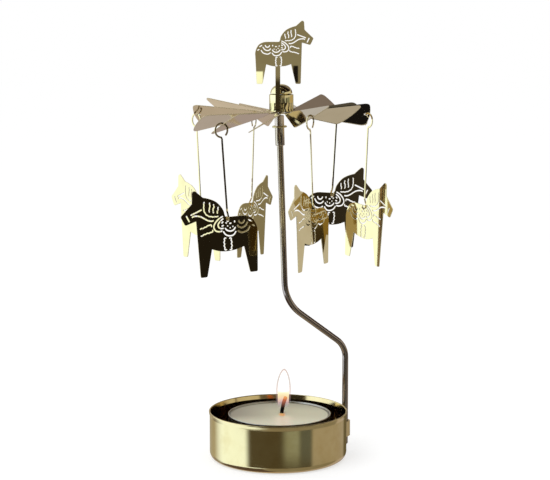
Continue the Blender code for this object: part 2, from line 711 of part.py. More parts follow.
def make_pendants(wire_look, horse_look):
    """Six horses on their hook wires, each turned about its ring until it balances."""
    bends = {bend[0]: bend for bend in blade_bends}
    for number, (hanging, share) in enumerate(zip(hangings, wire_length_shares), start=1):
        bearing, nose, ring_turn, lean = hanging
        facing = math.radians(nose + ring_turn)
        hanger = pivot(f"pendant_{number}", ring_centre(bends[bearing], facing))
        slant = math.radians(lean)
        hole = Vector((-math.sin(slant), 0, -math.cos(slant))) * WIRE_LENGTH * share
        curve = tube(f"hook_wire_{number}", wire_path(hole, math.radians(ring_turn)), WIRE_RADIUS, 1)
        figure = horse_mesh(f"horse_{number}", hole)
        wire = place(f"hook_wire_{number}", curve, wire_look.copy(), hanger)
        horse = place(f"horse_{number}", figure, horse_look.copy(), hanger)
        bpy.context.view_layer.update()
        moment = volume_moment(wire) + volume_moment(horse)
        balance = math.atan2(moment[0], -moment[2])
        hanger.rotation_euler = (0, balance, math.radians(nose))


def make_tealight(cup_look, wax_look, wick_look, tin_look):
    """Thin cup, wax, wick and the sustainer that holds the wick, on the candle cup's floor."""
    floor = CUP_WALL + SEAT_GAP
    light = pivot("tealight", (TEALIGHT_X, 0, floor))
    inner = TEALIGHT_RADIUS - TEALIGHT_WALL
    knee = (TEALIGHT_RADIUS - TEALIGHT_CORNER, TEALIGHT_CORNER)
    lip = TEALIGHT_HEIGHT - TEALIGHT_LIP
    section = ([(0, 0)] + arc(knee, TEALIGHT_CORNER, -math.pi / 2, 0, 3)
               + [(TEALIGHT_RADIUS, lip), (TEALIGHT_RADIUS + TEALIGHT_WALL, TEALIGHT_HEIGHT),
                  (TEALIGHT_RADIUS, TEALIGHT_HEIGHT), (inner, lip)]
               + arc(knee, TEALIGHT_CORNER - TEALIGHT_WALL, 0, -math.pi / 2, 3)
               + [(0, TEALIGHT_WALL)])
    place("tealight_cup", turned("tealight_cup", section, 40), cup_look, light)
    bottom = TEALIGHT_WALL + SEAT_GAP
    top = TEALIGHT_HEIGHT - WAX_DROP
    side = inner - SEAT_GAP
    wax_section = [(0, bottom), (side - TEALIGHT_CORNER, bottom), (side, bottom + TEALIGHT_CORNER),
                   (side, top), (0, top)]
    wax = place("tealight_wax", turned("tealight_wax", wax_section, 40), wax_look, light)
    wick_spot = (WICK_X, WICK_Y, 0)
    base = bottom + SHEET
    pocket = [(0, bottom - CUT_OVERRUN), (SUSTAINER_RADIUS + SEAT_GAP, bottom - CUT_OVERRUN),
              (SUSTAINER_RADIUS + SEAT_GAP, base + SEAT_GAP),
              (SUSTAINER_NECK + SEAT_GAP, base + SEAT_GAP),
              (SUSTAINER_NECK + SEAT_GAP, bottom + SUSTAINER_HEIGHT + SEAT_GAP),
              (WICK_RADIUS + SEAT_GAP, bottom + SUSTAINER_HEIGHT + SEAT_GAP),
              (WICK_RADIUS + SEAT_GAP, top + CUT_OVERRUN), (0, top + CUT_OVERRUN)]
    cutter = place("wick_pocket", turned("wick_pocket", pocket, 24), wax_look, light, wick_spot)
    boolean(wax, cutter, "DIFFERENCE")
    bore = WICK_RADIUS + SEAT_GAP
    tin = [(0, bottom), (SUSTAINER_RADIUS, bottom), (SUSTAINER_RADIUS, base),
           (SUSTAINER_NECK, base), (SUSTAINER_NECK, bottom + SUSTAINER_HEIGHT),
           (bore, bottom + SUSTAINER_HEIGHT), (bore, base), (0, base)]
    place("wick_sustainer", turned("wick_sustainer", tin, 24), tin_look, light, wick_spot)
    knots = [(0, base + SEAT_GAP), (0, top), (WICK_BEND / 5, top + WICK_STAND / 3),
             (WICK_BEND / 2, top + WICK_STAND * 2 / 3), (WICK_BEND, top + WICK_STAND)]
    path = [knots[0]] + smooth_run(knots[1:], 3)
    wick = tube("tealight_wick", [(x, 0, z) for x, z in path], WICK_RADIUS, 2)
    place("tealight_wick", wick, wick_look, light, wick_spot)


def main():
    clear_scene()
    make_cup(finish("satin_brass", (0.62, 0.50, 0.24), 0.30, 1.0))
    make_rod(finish("rod_brass", (0.50, 0.40, 0.22), 0.18, 1.0))
    make_sleeve(finish("sleeve_brass", (0.60, 0.49, 0.27), 0.15, 1.0))
    make_sleeve_collar(finish("collar_brass", (0.66, 0.53, 0.26), 0.15, 1.0))
    make_needle(finish("needle_steel", (0.60, 0.60, 0.62), 0.15, 1.0))
    spinner = pivot("rotor", needle_tip())
    make_rotor(finish("rotor_brass", (0.66, 0.54, 0.28), 0.20, 1.0), spinner)
    make_hub_collar(finish("hub_brass", (0.66, 0.54, 0.26), 0.12, 1.0), spinner)
    make_hub_dome(finish("dome_brass", (0.60, 0.48, 0.22), 0.10, 1.0), spinner)
    make_bearing(finish("bearing_steel", (0.55, 0.55, 0.57), 0.15, 1.0), spinner)
    make_top_horse(finish("top_figure_brass", (0.60, 0.48, 0.22), 0.20, 1.0), spinner)
    make_pendants(finish("wire_brass", (0.45, 0.36, 0.20), 0.22, 1.0),
                  finish("figure_brass", (0.62, 0.50, 0.24), 0.20, 1.0))
    make_tealight(finish("tealight_aluminium", (0.80, 0.80, 0.80), 0.25, 1.0),
                  finish("candle_wax", (0.80, 0.78, 0.68), 0.45, 0.0),
                  finish("wick_cotton", (0.06, 0.05, 0.05), 0.90, 0.0),
                  finish("sustainer_tin", (0.60, 0.60, 0.60), 0.35, 1.0))


main()
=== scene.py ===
# Candle carousel: a tealight in a brass cup turns a rotor with six hanging horses.
# Metres, +Z up, origin at the centre of the cup's underside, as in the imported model.
import math
import bmesh
import bpy
import numpy as np
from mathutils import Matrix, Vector
from mathutils.geometry import delaunay_2d_cdt


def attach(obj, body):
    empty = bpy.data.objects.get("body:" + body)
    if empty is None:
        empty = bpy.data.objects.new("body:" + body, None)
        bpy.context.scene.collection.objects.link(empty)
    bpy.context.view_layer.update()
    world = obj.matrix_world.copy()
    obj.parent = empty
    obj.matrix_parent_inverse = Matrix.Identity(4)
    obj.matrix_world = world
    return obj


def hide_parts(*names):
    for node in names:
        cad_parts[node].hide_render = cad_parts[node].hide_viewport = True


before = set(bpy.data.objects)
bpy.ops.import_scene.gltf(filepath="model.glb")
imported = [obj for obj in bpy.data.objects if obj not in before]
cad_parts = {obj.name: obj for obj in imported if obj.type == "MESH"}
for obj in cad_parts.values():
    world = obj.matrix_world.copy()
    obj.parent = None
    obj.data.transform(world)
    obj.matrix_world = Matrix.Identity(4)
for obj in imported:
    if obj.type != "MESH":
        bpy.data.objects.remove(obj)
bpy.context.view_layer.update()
full = 2 * math.pi
gap = 0.0003  # stands in for contact, as in the solids


# shapes as arrays

def unit(rows):
    # every row divided by its own length
    return rows / np.linalg.norm(rows, axis=-1, keepdims=True)


def arcOf(centre, radius, start, end, count):
    # centre + radius * (cos a, sin a), with a in degrees from start to end
    a = np.radians(np.linspace(start, end, count))
    return np.stack([centre[0] + radius * np.cos(a), centre[1] + radius * np.sin(a)], -1)


def smoothRun(knots, samples):
    # Catmull-Rom: half of (2b, c - a, 2a - 5b + 4c - d, 3b - 3c + d - a) dot (1, t, t2, t3)
    knots = np.asarray(knots, float)
    padded = np.concatenate([knots[:1], knots, knots[-1:]])
    t = (np.arange(samples) + 1) / samples
    weights = np.stack([-t + 2 * t**2 - t**3, 2 - 5 * t**2 + 3 * t**3,
                        t + 4 * t**2 - 3 * t**3, t**3 - t**2], -1) / 2
    spans = np.stack([padded[:-3], padded[1:-2], padded[2:-1], padded[3:]], 1)
    run = np.einsum("sw,kwd->ksd", weights, spans).reshape(-1, knots.shape[1])
    return np.concatenate([knots[:1], run])


def lengthsAlong(path):
    # running sum of the distances between neighbours
    return np.concatenate([[0], np.cumsum(np.linalg.norm(np.diff(path, axis=0), axis=1))])


def shared(path, count):
    # the same path as a number of points at equal lengths along it
    along = lengthsAlong(path)
    wanted = np.linspace(0, along[-1], count)
    return np.stack([np.interp(wanted, along, path[:, axis]) for axis in range(path.shape[1])], -1)


def evenly(path, spacing):
    # the same path with its points the given length apart
    return shared(path, max(int(lengthsAlong(path)[-1] / spacing), 4) + 1)


def easedCorner(before, corner, after, size, count=6):
    # quadratic curve from corner - size towards before to corner + size towards after
    start = corner + unit(before - corner) * size
    end = corner + unit(after - corner) * size
    t = np.linspace(0, 1, count)[:, None]
    return (1 - t)**2 * start + 2 * t * (1 - t) * corner + t**2 * end


def gridFaces(rows, columns, closeRows=False):
    # quads between each point of a grid and its neighbours in the next row and column; the last
    # column meets the first
    r = np.arange(rows if closeRows else rows - 1)[:, None]
    c = np.arange(columns)[None, :]
    nextR, nextC = (r + 1) % rows, (c + 1) % columns
    quads = [r * columns + c, r * columns + nextC, nextR * columns + nextC, nextR * columns + c]
    return np.stack(quads, -1).reshape(-1, 4)


def turnedShape(profile, steps=96):
    # (radius, height) turned about Z: (r cos a, r sin a, h); open on the axis or a closed ring
    profile = np.asarray(profile, float)
    a = np.linspace(0, full, steps, endpoint=False)
    ring = np.stack([np.cos(a), np.sin(a)], -1)
    flat = profile[:, None, :1] * ring[None]
    rise = np.broadcast_to(profile[:, None, 1:], flat.shape[:2] + (1,))
    points = np.concatenate([flat, rise], -1).reshape(-1, 3)
    return points, gridFaces(len(profile), steps, closeRows=profile[0, 0] > 0)


def heading(degrees):
    # (cos, sin) of a bearing
    return np.array([math.cos(math.radians(degrees)), math.sin(math.radians(degrees))])


def roundSection(radius, sides=32):
    # radius * (cos a, sin a) all round
    a = np.linspace(0, full, sides, endpoint=False)
    return radius * np.stack([np.cos(a), np.sin(a)], -1)


def flatSection(halfWidth, halfDepth, chamfer):
    # a strip's section: flat sides joined by narrow chamfers
    w, d = np.array([halfWidth, halfWidth - chamfer]), np.array([halfDepth - chamfer, halfDepth])
    quarter = np.stack([w, d], -1)
    half = np.concatenate([quarter, (quarter * [-1, 1])[::-1]])
    return np.concatenate([half, -half])


def sweptShape(path, across, section, rounding=1.0):
    # path + across * section x + (tangent x across) * section y, with ends drawn in on a
    # quarter circle
    path = np.asarray(path, float)
    tangents = unit(np.gradient(path, axis=0))
    across = np.broadcast_to(across, path.shape)
    across = unit(across - tangents * np.sum(across * tangents, -1, keepdims=True))
    reach = np.abs(section).max(0).min() * rounding
    quarter = np.radians(np.linspace(90, 0, 5))
    lead = reach * (1 - np.sin(quarter))[:, None]
    finish = (path[-1] - tangents[-1] * lead)[::-1]
    line = np.concatenate([path[0] + tangents[0] * lead, path[1:-1], finish])
    sizes = np.concatenate([np.cos(quarter), np.ones(len(path) - 2), np.cos(quarter)[::-1]])

    def withEnds(rows):
        times = len(quarter)
        return np.concatenate([np.repeat(rows[:1], times, 0), rows[1:-1], np.repeat(rows[-1:], times, 0)])
    sideways, ahead = withEnds(across), withEnds(tangents)
    deep = np.cross(ahead, sideways)
    spread = sideways[:, None] * section[None, :, :1] + deep[:, None] * section[None, :, 1:]
    points = line[:, None] + spread * sizes[:, None, None]
    return points.reshape(-1, 3), gridFaces(len(line), len(section))


def insideLoops(points, loops):
    # even-odd rule: a line from the point towards +x crosses the loops an odd number of times
    starts = np.concatenate(loops)
    ends = np.concatenate([np.roll(loop, -1, 0) for loop in loops])
    x, y = points[:, :1], points[:, 1:]
    straddles = (starts[:, 1] > y) != (ends[:, 1] > y)
    rise = ends[:, 1] - starts[:, 1]
    slope = (ends[:, 0] - starts[:, 0]) / np.where(rise == 0, 1, rise)
    meets = starts[:, 0] + (y - starts[:, 1]) * slope
    return (straddles & (x < meets)).sum(1) % 2 == 1


def windingArea(loop):
    # half the sum of x dy - y dx, positive where the loop runs anticlockwise
    after = np.roll(loop, -1, 0)
    return 0.5 * np.sum(loop[:, 0] * after[:, 1] - loop[:, 1] * after[:, 0])


def towardsMetal(loop):
    # unit normals on the left of the way round, which is where the metal is
    ahead = unit(np.roll(loop, -1, 0) - loop)
    mean = unit(ahead + np.roll(ahead, 1, 0))
    return np.stack([-mean[:, 1], mean[:, 0]], -1)


def sheetShape(loops, thickness, edge, bend, inner=None):
    # Flat blank between an outline and its holes, carried to space by bend(x, y, depth). Both
    # faces are the same triangles, and the edge between them is half an ellipse, edge deep.
    loops = [np.asarray(loop, float) for loop in loops]
    loops = [loop if (windingArea(loop) > 0) == (number == 0) else loop[::-1]
             for number, loop in enumerate(loops)]
    normals = [towardsMetal(loop) for loop in loops]
    rims = [loop + normal * edge for loop, normal in zip(loops, normals)]
    flat = np.concatenate(rims + ([inner] if inner is not None else []))
    links, start = [], 0
    for rim in rims:
        index = start + np.arange(len(rim))
        links.append(np.stack([index, start + (np.arange(len(rim)) + 1) % len(rim)], -1))
        start += len(rim)
    links = np.concatenate(links)
    found = delaunay_2d_cdt([Vector(p) for p in flat.tolist()], links.tolist(), [], 0, 1e-9)
    corners = np.array([list(p) for p in found[0]])
    triangles = np.array(found[2])
    if len(corners) != len(flat):
        raise ValueError(f"the outlines of a sheet cross: {len(flat)} points became {len(corners)}")
    order = np.array([origin[0] for origin in found[3]])
    triangles = order[triangles]
    middle = flat[triangles].mean(1)
    triangles = triangles[insideLoops(middle, rims)]
    first, second, third = (flat[triangles[:, number]] for number in range(3))
    area = np.cross(second - first, third - first)
    triangles[area < 0] = triangles[area < 0][:, ::-1]
    half = thickness / 2
    angles = np.radians([54, 18, -18, -54])
    outline, away = np.concatenate(loops), np.concatenate(normals)
    levels = [(flat, half)]
    for angle in angles:
        levels.append((outline + away * edge * (1 - math.cos(angle)), half * math.sin(angle)))
    levels.append((flat, -half))
    layers = [np.column_stack([spots, np.full(len(spots), level)]) for spots, level in levels]
    starts = np.cumsum([0] + [len(layer) for layer in layers[:-1]])
    back = starts[-1]
    points = np.concatenate(layers)
    quads = []
    for upper, lower in zip(starts[:-1], starts[1:]):
        quads.append(np.column_stack([links[:, 0] + upper, links[:, 0] + lower,
                                      links[:, 1] + lower, links[:, 1] + upper]))
    faces = [triangles, triangles[:, ::-1] + back, np.concatenate(quads)]
    creases = np.concatenate([links, links + back])
    return bend(points[:, 0], points[:, 1], points[:, 2]), faces, creases


# pieces from arrays

def meshOf(name, points, faces, creases=None, crease=30):
    # one closed mesh: doubles merged at its poles, faces outwards, smooth but for its creases;
    # of a list of face groups, the last one takes the second material
    mesh = bpy.data.meshes.new(name)
    groups = faces if isinstance(faces, list) else [faces]
    mesh.from_pydata(points.tolist(), [], [face for group in groups for face in group.tolist()])
    slots = [int(0 < number == len(groups) - 1) for number in range(len(groups))]
    counts = [len(group) for group in groups]
    mesh.polygons.foreach_set("material_index", np.repeat(slots, counts).astype(np.int32))
    tidy = bmesh.new()
    tidy.from_mesh(mesh)
    if creases is None:
        bmesh.ops.remove_doubles(tidy, verts=tidy.verts, dist=1e-7)
    bmesh.ops.recalc_face_normals(tidy, faces=tidy.faces)
    tidy.to_mesh(mesh)
    tidy.free()
    mesh.shade_smooth()
    if creases is None:
        mesh.set_sharp_from_angle(angle=math.radians(crease))
        return mesh
    ends = np.zeros(2 * len(mesh.edges), np.int32)
    mesh.edges.foreach_get("vertices", ends)
    ends = np.sort(ends.reshape(-1, 2), 1).astype(np.int64)
    wanted = np.sort(creases, 1).astype(np.int64)
    most = len(mesh.vertices)
    sharp = np.isin(ends[:, 0] * most + ends[:, 1], wanted[:, 0] * most + wanted[:, 1])
    mesh.attributes.new("sharp_edge", "BOOLEAN", "EDGE").data.foreach_set("value", sharp)
    return mesh


def inScene(name, data):
    thing = bpy.data.objects.new(name, data)
    bpy.context.scene.collection.objects.link(thing)
    return thing


def piece(name, shape, finish, body, nodes=(), edge=None, crease=30):
    # a shape is its points and faces, and for a sheet its creases
    mesh = meshOf(name, *shape, crease=crease)
    thing = inScene(name, mesh)
    mesh.materials.append(finish)
    if edge:
        mesh.materials.append(edge)
    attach(thing, body)
    if nodes:
        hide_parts(*nodes)
    return thing


def placed(points, origin=(0, 0, 0), turn=None):
    # turn @ point + origin
    points = points if turn is None else points @ np.asarray(turn).T
    return points + np.asarray(origin)


def placedShape(shape, origin=(0, 0, 0), turn=None):
    return placed(shape[0], origin, turn), *shape[1:]


def spinZ(degrees):
    c, s = heading(degrees)
    return np.array([[c, -s, 0], [s, c, 0], [0, 0, 1]])


def spinY(degrees):
    c, s = heading(degrees)
    return np.array([[c, 0, s], [0, 1, 0], [-s, 0, c]])


def turnZTo(direction):
    # axes whose third one is the given direction
    z = unit(np.asarray(direction, float))
    x = unit(np.cross([0, 1, 0], z))
    return np.stack([x, np.cross(z, x), z], -1)


# shader helpers

class Value:
    # a number on its way through the nodes; + - * / on it add the Math node
    def __init__(self, graph, socket):
        self.graph = graph
        self.socket = socket

    def __add__(self, other):
        return self.graph.maths("ADD", self, other)

    def __radd__(self, other):
        return self.graph.maths("ADD", other, self)

    def __sub__(self, other):
        return self.graph.maths("SUBTRACT", self, other)

    def __rsub__(self, other):
        return self.graph.maths("SUBTRACT", other, self)

    def __mul__(self, other):
        return self.graph.maths("MULTIPLY", self, other)

    def __rmul__(self, other):
        return self.graph.maths("MULTIPLY", other, self)

    def __truediv__(self, other):
        return self.graph.maths("DIVIDE", self, other)


class Graph:
    # the nodes of one material or of the world
    def __init__(self, tree):
        self.tree = tree
        self.tree.nodes.clear()

    def node(self, kind, settings=None, sockets=None, out=0):
        made = self.tree.nodes.new(kind)
        for name, value in (settings or {}).items():
            if name == "stops":
                ramp = made.color_ramp
                while len(ramp.elements) < len(value):
                    ramp.elements.new(0.5)
                for element, (spot, colour) in zip(ramp.elements, value):
                    element.position = spot
                    element.color = (*colour, 1)
            else:
                setattr(made, name, value)
        for name, value in (sockets or {}).items():
            if isinstance(value, Value):
                self.tree.links.new(value.socket, made.inputs[name])
            elif isinstance(value, tuple) and len(made.inputs[name].default_value) == 4:
                made.inputs[name].default_value = (*value[:3], 1)
            else:
                made.inputs[name].default_value = value
        return Value(self, made.outputs[out]) if len(made.outputs) else None

    def mix(self, first, second, share):
        return self.node("ShaderNodeMix", {"data_type": "RGBA"}, {0: share, 6: first, 7: second}, 2)

    def stops(self, colours, value):
        return self.node("ShaderNodeValToRGB", {"stops": colours}, {0: value})

    def ramp(self, value, low, high):
        # smooth step from 0 at low to 1 at high
        return self.node("ShaderNodeMapRange", {"interpolation_type": "SMOOTHSTEP"},
                         {"Value": value, "From Min": low, "From Max": high})

    def spot(self, output="Object"):
        return self.node("ShaderNodeTexCoord", {}, {}, {"Generated": 0, "Object": 3}[output])

    def scaled(self, vector, scale):
        return self.node("ShaderNodeMapping", {}, {"Vector": vector, "Scale": scale})

    def noise(self, vector, scale, detail=3.0, rough=0.5, warp=0.0):
        return self.node("ShaderNodeTexNoise", {}, {"Vector": vector, "Scale": scale, "Detail": detail,
                                                    "Roughness": rough, "Distortion": warp})

    def distance(self, vector, place):
        return self.node("ShaderNodeVectorMath", {"operation": "DISTANCE"}, {0: vector, 1: place}, 1)

    def maths(self, operation, *values):
        return self.node("ShaderNodeMath", {"operation": operation}, dict(enumerate(values)))

    def axes(self, vector):
        made = self.node("ShaderNodeSeparateXYZ", {}, {0: vector})
        parts = made.socket.node.outputs
        return [Value(self, parts[index]) for index in range(3)]


def material(name):
    made = bpy.data.materials.new(name)
    made.use_nodes = True
    return made, Graph(made.node_tree)


bumpDepth = 0.0001


def finishWith(graph, shader, colour, roughness, bump=None, strength=0.1):
    # a Principled shader: the given sockets, and colour, roughness and an optional bump
    sockets = dict(shader)
    sockets["Base Color"] = colour
    sockets["Roughness"] = roughness
    if bump is not None:
        sockets["Normal"] = graph.node("ShaderNodeBump", {}, {"Height": bump, "Strength": strength,
                                                              "Distance": bumpDepth})
    surface = graph.node("ShaderNodeBsdfPrincipled", {}, sockets)
    graph.node("ShaderNodeOutputMaterial", {}, {"Surface": surface})


# finishes

brassPlain = {"rough": 0.02, "grain": 0.02, "streak": (1.0, 1.0, 6.0), "size": 900, "metal": 1.0}
brass = {
    "mirror": {"light": (0.84, 0.72, 0.42), "deep": (0.80, 0.67, 0.38), "bump": 0.001},
    "clear": {"light": (0.84, 0.72, 0.42), "deep": (0.80, 0.67, 0.38), "rough": 0.005, "grain": 0.004,
              "bump": 0.0},
    "satin": {"light": (0.80, 0.65, 0.33), "deep": (0.74, 0.58, 0.27), "rough": 0.075, "grain": 0.07,
              "streak": (1.0, 1.0, 14.0), "size": 260, "bump": 0.01},
    # inside: a darker copy of the cup's brass for its inner wall, painted shade
    "inside": {"light": (0.42, 0.29, 0.16), "deep": (0.34, 0.22, 0.11), "rough": 0.15, "grain": 0.06,
               "streak": (1.0, 1.0, 14.0), "size": 260, "bump": 0.03},
    "sheet": {"light": (0.77, 0.68, 0.49), "deep": (0.74, 0.65, 0.46), "rough": 0.05, "grain": 0.04,
              "streak": (6.0, 1.0, 1.0), "size": 500, "bump": 0.0006},
    "rod": {"light": (0.66, 0.56, 0.45), "deep": (0.60, 0.50, 0.40), "rough": 0.11, "grain": 0.04,
            "streak": (8.0, 8.0, 1.0), "size": 700, "bump": 0.0006, "lower": (0.37, 0.30, 0.255),
            "lowerTop": 0.064, "lowerBlend": 0.008},
    "bright": {"light": (0.86, 0.75, 0.42), "deep": (0.82, 0.70, 0.38), "size": 600, "bump": 0.0006},
    "edge": {"light": (0.84, 0.75, 0.45), "deep": (0.76, 0.66, 0.38), "rough": 0.50, "grain": 0.05,
             "streak": (1.0, 1.0, 1.0), "bump": 0.02, "metal": 0.2},
    "bladeEdge": {"light": (0.58, 0.48, 0.29), "deep": (0.50, 0.41, 0.24), "rough": 0.50, "grain": 0.05,
                  "streak": (1.0, 1.0, 1.0), "bump": 0.02, "metal": 0.2}}


def brassFinish(name, kind):
    # rolled or polished brass: fine drawn streaks, slow tarnish and faint handling marks; a rod
    # takes its darker lower colour below a height
    made, graph = material(name)
    look = {**brassPlain, **brass[kind]}
    spot = graph.spot()
    streaks = graph.noise(graph.scaled(spot, look["streak"]), look["size"], 4.0, 0.6)
    tarnish = graph.noise(spot, 130.0, 3.0, 0.55)
    marks = graph.ramp(graph.noise(spot, 420.0, 5.0, 0.65, 0.6), 0.58, 0.74)
    colour = graph.mix(look["light"], look["deep"], graph.ramp(tarnish, 0.38, 0.68))
    if "lower" in look:
        height = graph.axes(spot)[2]
        upper = graph.ramp(height, look["lowerTop"], look["lowerTop"] + look["lowerBlend"])
        colour = graph.mix(look["lower"], colour, upper)
    roughness = (streaks + marks) * look["grain"] + look["rough"]
    finishWith(graph, {"Metallic": look["metal"]}, colour, roughness, streaks, look["bump"])
    return made


steel = {
    "needle": {"tint": (0.60, 0.60, 0.62), "rough": 0.18, "grain": 0.1, "size": 900, "bump": 0.05},
    "tin": {"tint": (0.66, 0.62, 0.53), "rough": 0.26, "grain": 0.1, "size": 900, "bump": 0.05}}


def steelFinish(name, kind):
    # streaks along Z, up to a tenth darker between them
    made, graph = material(name)
    look = steel[kind]
    streaks = graph.noise(graph.scaled(graph.spot(), (6.0, 6.0, 1.0)), look["size"], 4.0, 0.6)
    colour = graph.mix(tuple(0.9 * part for part in look["tint"]), look["tint"], streaks)
    roughness = streaks * look["grain"] + look["rough"]
    finishWith(graph, {"Metallic": 1.0}, colour, roughness, streaks, look["bump"])
    return made


print("finishes")
mirrorBrass = brassFinish("polished_sheet_brass", "mirror")
clearBrass = brassFinish("clear_sheet_brass", "clear")
satinBrass = brassFinish("satin_cup_brass", "satin")
# painted shade: the darker brass of the cup's inner wall
shadedInsideBrass = brassFinish("painted_shade_inside_brass", "inside")
bladeBrass = brassFinish("rolled_blade_brass", "sheet")
rodBrass = brassFinish("drawn_rod_brass", "rod")
brightBrass = brassFinish("bright_fitting_brass", "bright")
cutBrass = brassFinish("cut_edge_brass", "edge")
bladeEdgeBrass = brassFinish("blade_edge_brass", "bladeEdge")
needleSteel = steelFinish("ground_steel", "needle")
tealightTin = steelFinish("rolled_aluminium", "tin")


# cup and its strap

cup = {"radius": 0.02555, "height": 0.0178, "wall": 0.0006, "corner": 0.0026, "flare": 0.0003,
       "rimHeight": 0.0017, "rimStep": 0.0001, "strapReach": 0.0042, "strap": 0.0005,
       "strapBottom": 0.00555, "strapHeight": 0.0059, "strapChamfer": 0.00008, "strapStep": 0.0002,
       "slit": 0.0003, "windowDepth": 0.001}
sleeve = {"radius": 0.0017, "length": 0.0110, "bore": 0.0014, "socket": 0.0007, "round": 0.0006,
          "top": 0.12765, "topWall": 0.0015, "shoulder": 0.0002, "collarRadius": 0.0027,
          "collarHeight": 0.0007, "collarDrop": 0.0041}
rod = {"radius": 0.00114, "azimuth": 21.4, "end": 0.00205, "lowerKnee": 0.04005, "upperKnee": 0.0584,
       "lowerBend": 0.0085, "upperBend": 0.0155, "kneeOffset": 0.0016, "topOffset": -0.0008,
       "top": sleeve["top"] - sleeve["topWall"], "step": 0.0012}
hub = {"x": 0.00117, "level": 0.12855, "sheet": 0.0003}
rodPlace = cup["radius"] + cup["flare"] + gap + rod["radius"]


def makeCup():
    # section: underside, corner, wall, flared and rounded rim, and back down inside
    radius, wall, corner, height = cup["radius"], cup["wall"], cup["corner"], cup["height"]
    inner, flare, rim = radius - wall, cup["flare"], height - cup["rimHeight"]
    lip, below = wall / 2, rim - cup["rimStep"]
    outside = arcOf((radius - corner, corner), corner, -90, 0, 12)
    rise = np.array([0, 0.04, 0.96])[:, None]  # shares of the flare, close to both its ends
    flaring = (radius, rim) + rise * (flare, cup["rimHeight"] - lip)
    top = arcOf((radius + flare - lip, height - lip), lip, 15, 165, 8)
    falling = (inner + flare, height - lip) - rise * (flare, cup["rimHeight"] - lip)
    bow = arcOf((radius - corner, corner), corner - wall, 0, -90, 10)
    inside = np.concatenate([[(inner, rim), (inner, below)], bow, [(0, wall)]])
    shown = np.concatenate([[(0, 0)], outside, [(radius, below)], flaring, top, falling])
    points, faces = turnedShape(np.concatenate([shown, inside]), 160)
    faces = [faces[:len(shown) * 160], faces[len(shown) * 160:]]
    # the inner faces take the darker inside brass, painted shade
    shell = piece("cupShell", (points, faces), satinBrass, "base", ["candle_cup"], edge=shadedInsideBrass,
                  crease=50)
    wide = cup["strapReach"] - cup["strap"]
    low, high = cup["strapBottom"] - cup["slit"], cup["strapBottom"] + cup["strapHeight"] + cup["slit"]
    near, far = inner - cup["windowDepth"], radius + cup["windowDepth"]
    window = np.array([(x, y, z) for x in (-wide, wide) for y in (near, far) for z in (low, high)])
    sides = np.array([(0, 1, 3, 2), (4, 6, 7, 5), (0, 4, 5, 1), (2, 3, 7, 6), (0, 2, 6, 4), (1, 5, 7, 3)])
    mesh = meshOf("strapWindow", placed(window, turn=spinZ(rod["azimuth"] - 90)), sides)
    cutter = inScene("strapWindow", mesh)
    step = shell.modifiers.new("window", "BOOLEAN")
    step.operation, step.solver, step.object = "DIFFERENCE", "EXACT", cutter
    graph = bpy.context.evaluated_depsgraph_get()
    cut = bpy.data.meshes.new_from_object(shell.evaluated_get(graph))
    shell.modifiers.clear()
    shell.data = cut
    bpy.data.objects.remove(cutter)


def makeStrap():
    # strip lanced out of the wall: out of one side, over the rod on an arc, and back
    reach = rod["radius"] + gap + cup["strap"] / 2
    anchor = np.array([cup["strapReach"], cup["radius"] - cup["wall"] / 2])
    offset = anchor - [0, rodPlace]
    touch = math.degrees(math.atan2(offset[1], offset[0]) + math.acos(reach / np.hypot(*offset)))
    over = arcOf((0, rodPlace), reach, touch, 180 - touch, 13)
    path = np.concatenate([[anchor], over, [anchor * [-1, 1]]])
    path = evenly(smoothRun(path, 4), cup["strapStep"])
    spine = np.column_stack([path, np.full(len(path), cup["strapBottom"] + cup["strapHeight"] / 2)])
    section = flatSection(cup["strapHeight"] / 2, cup["strap"] / 2, cup["strapChamfer"])
    strip = placedShape(sweptShape(spine, (0, 0, 1), section, 0.2), turn=spinZ(rod["azimuth"] - 90))
    piece("cupStrap", strip, satinBrass, "base", ())


print("cup")
makeCup()
makeStrap()


# rod, sleeve, collar and needle

rodFoot = rodPlace * heading(rod["azimuth"])
rodSpan = np.linalg.norm(rodFoot - [hub["x"], 0])
rodWay = (rodFoot - [hub["x"], 0]) / rodSpan


def onRodPlane(offset, height):
    # pivot + offset * level direction of the rod's foot, at a height
    return np.array([hub["x"] + rodWay[0] * offset, rodWay[1] * offset, height])


def leanLine(height):
    # the rod's upper leg, straight from its upper knee to its top
    share = (height - rod["upperKnee"]) / (rod["top"] - rod["upperKnee"])
    return onRodPlane(rod["kneeOffset"] + (rod["topOffset"] - rod["kneeOffset"]) * share, height)


def roundedKnee(before, corner, after, radius, count=24):
    # arc of the given radius that touches both legs of a corner
    into, out = unit(corner - before), unit(after - corner)
    half = math.acos(np.clip(into @ out, -1, 1)) / 2
    centre = corner + unit(out - into) * radius / math.cos(half)
    a = np.linspace(-half, half, count)[:, None]
    return centre + radius * (np.cos(a) * unit(into - out) + np.sin(a) * unit(into + out))


def makeRod():
    # a round section along the path: foot, lower knee, upper knee, leaning upper leg
    foot, low = onRodPlane(rodSpan, rod["end"]), onRodPlane(rodSpan, rod["lowerKnee"])
    high, top = onRodPlane(rod["kneeOffset"], rod["upperKnee"]), leanLine(rod["top"])
    path = np.concatenate([[foot], roundedKnee(foot, low, high, rod["lowerBend"]),
                           roundedKnee(low, high, top, rod["upperBend"]), [top]])
    sideways = np.array([-rodWay[1], rodWay[0], 0])
    bent = sweptShape(evenly(path, rod["step"]), sideways, roundSection(rod["radius"]), 0.5)
    piece("bentRod", bent, rodBrass, "base", ["support_rod"])


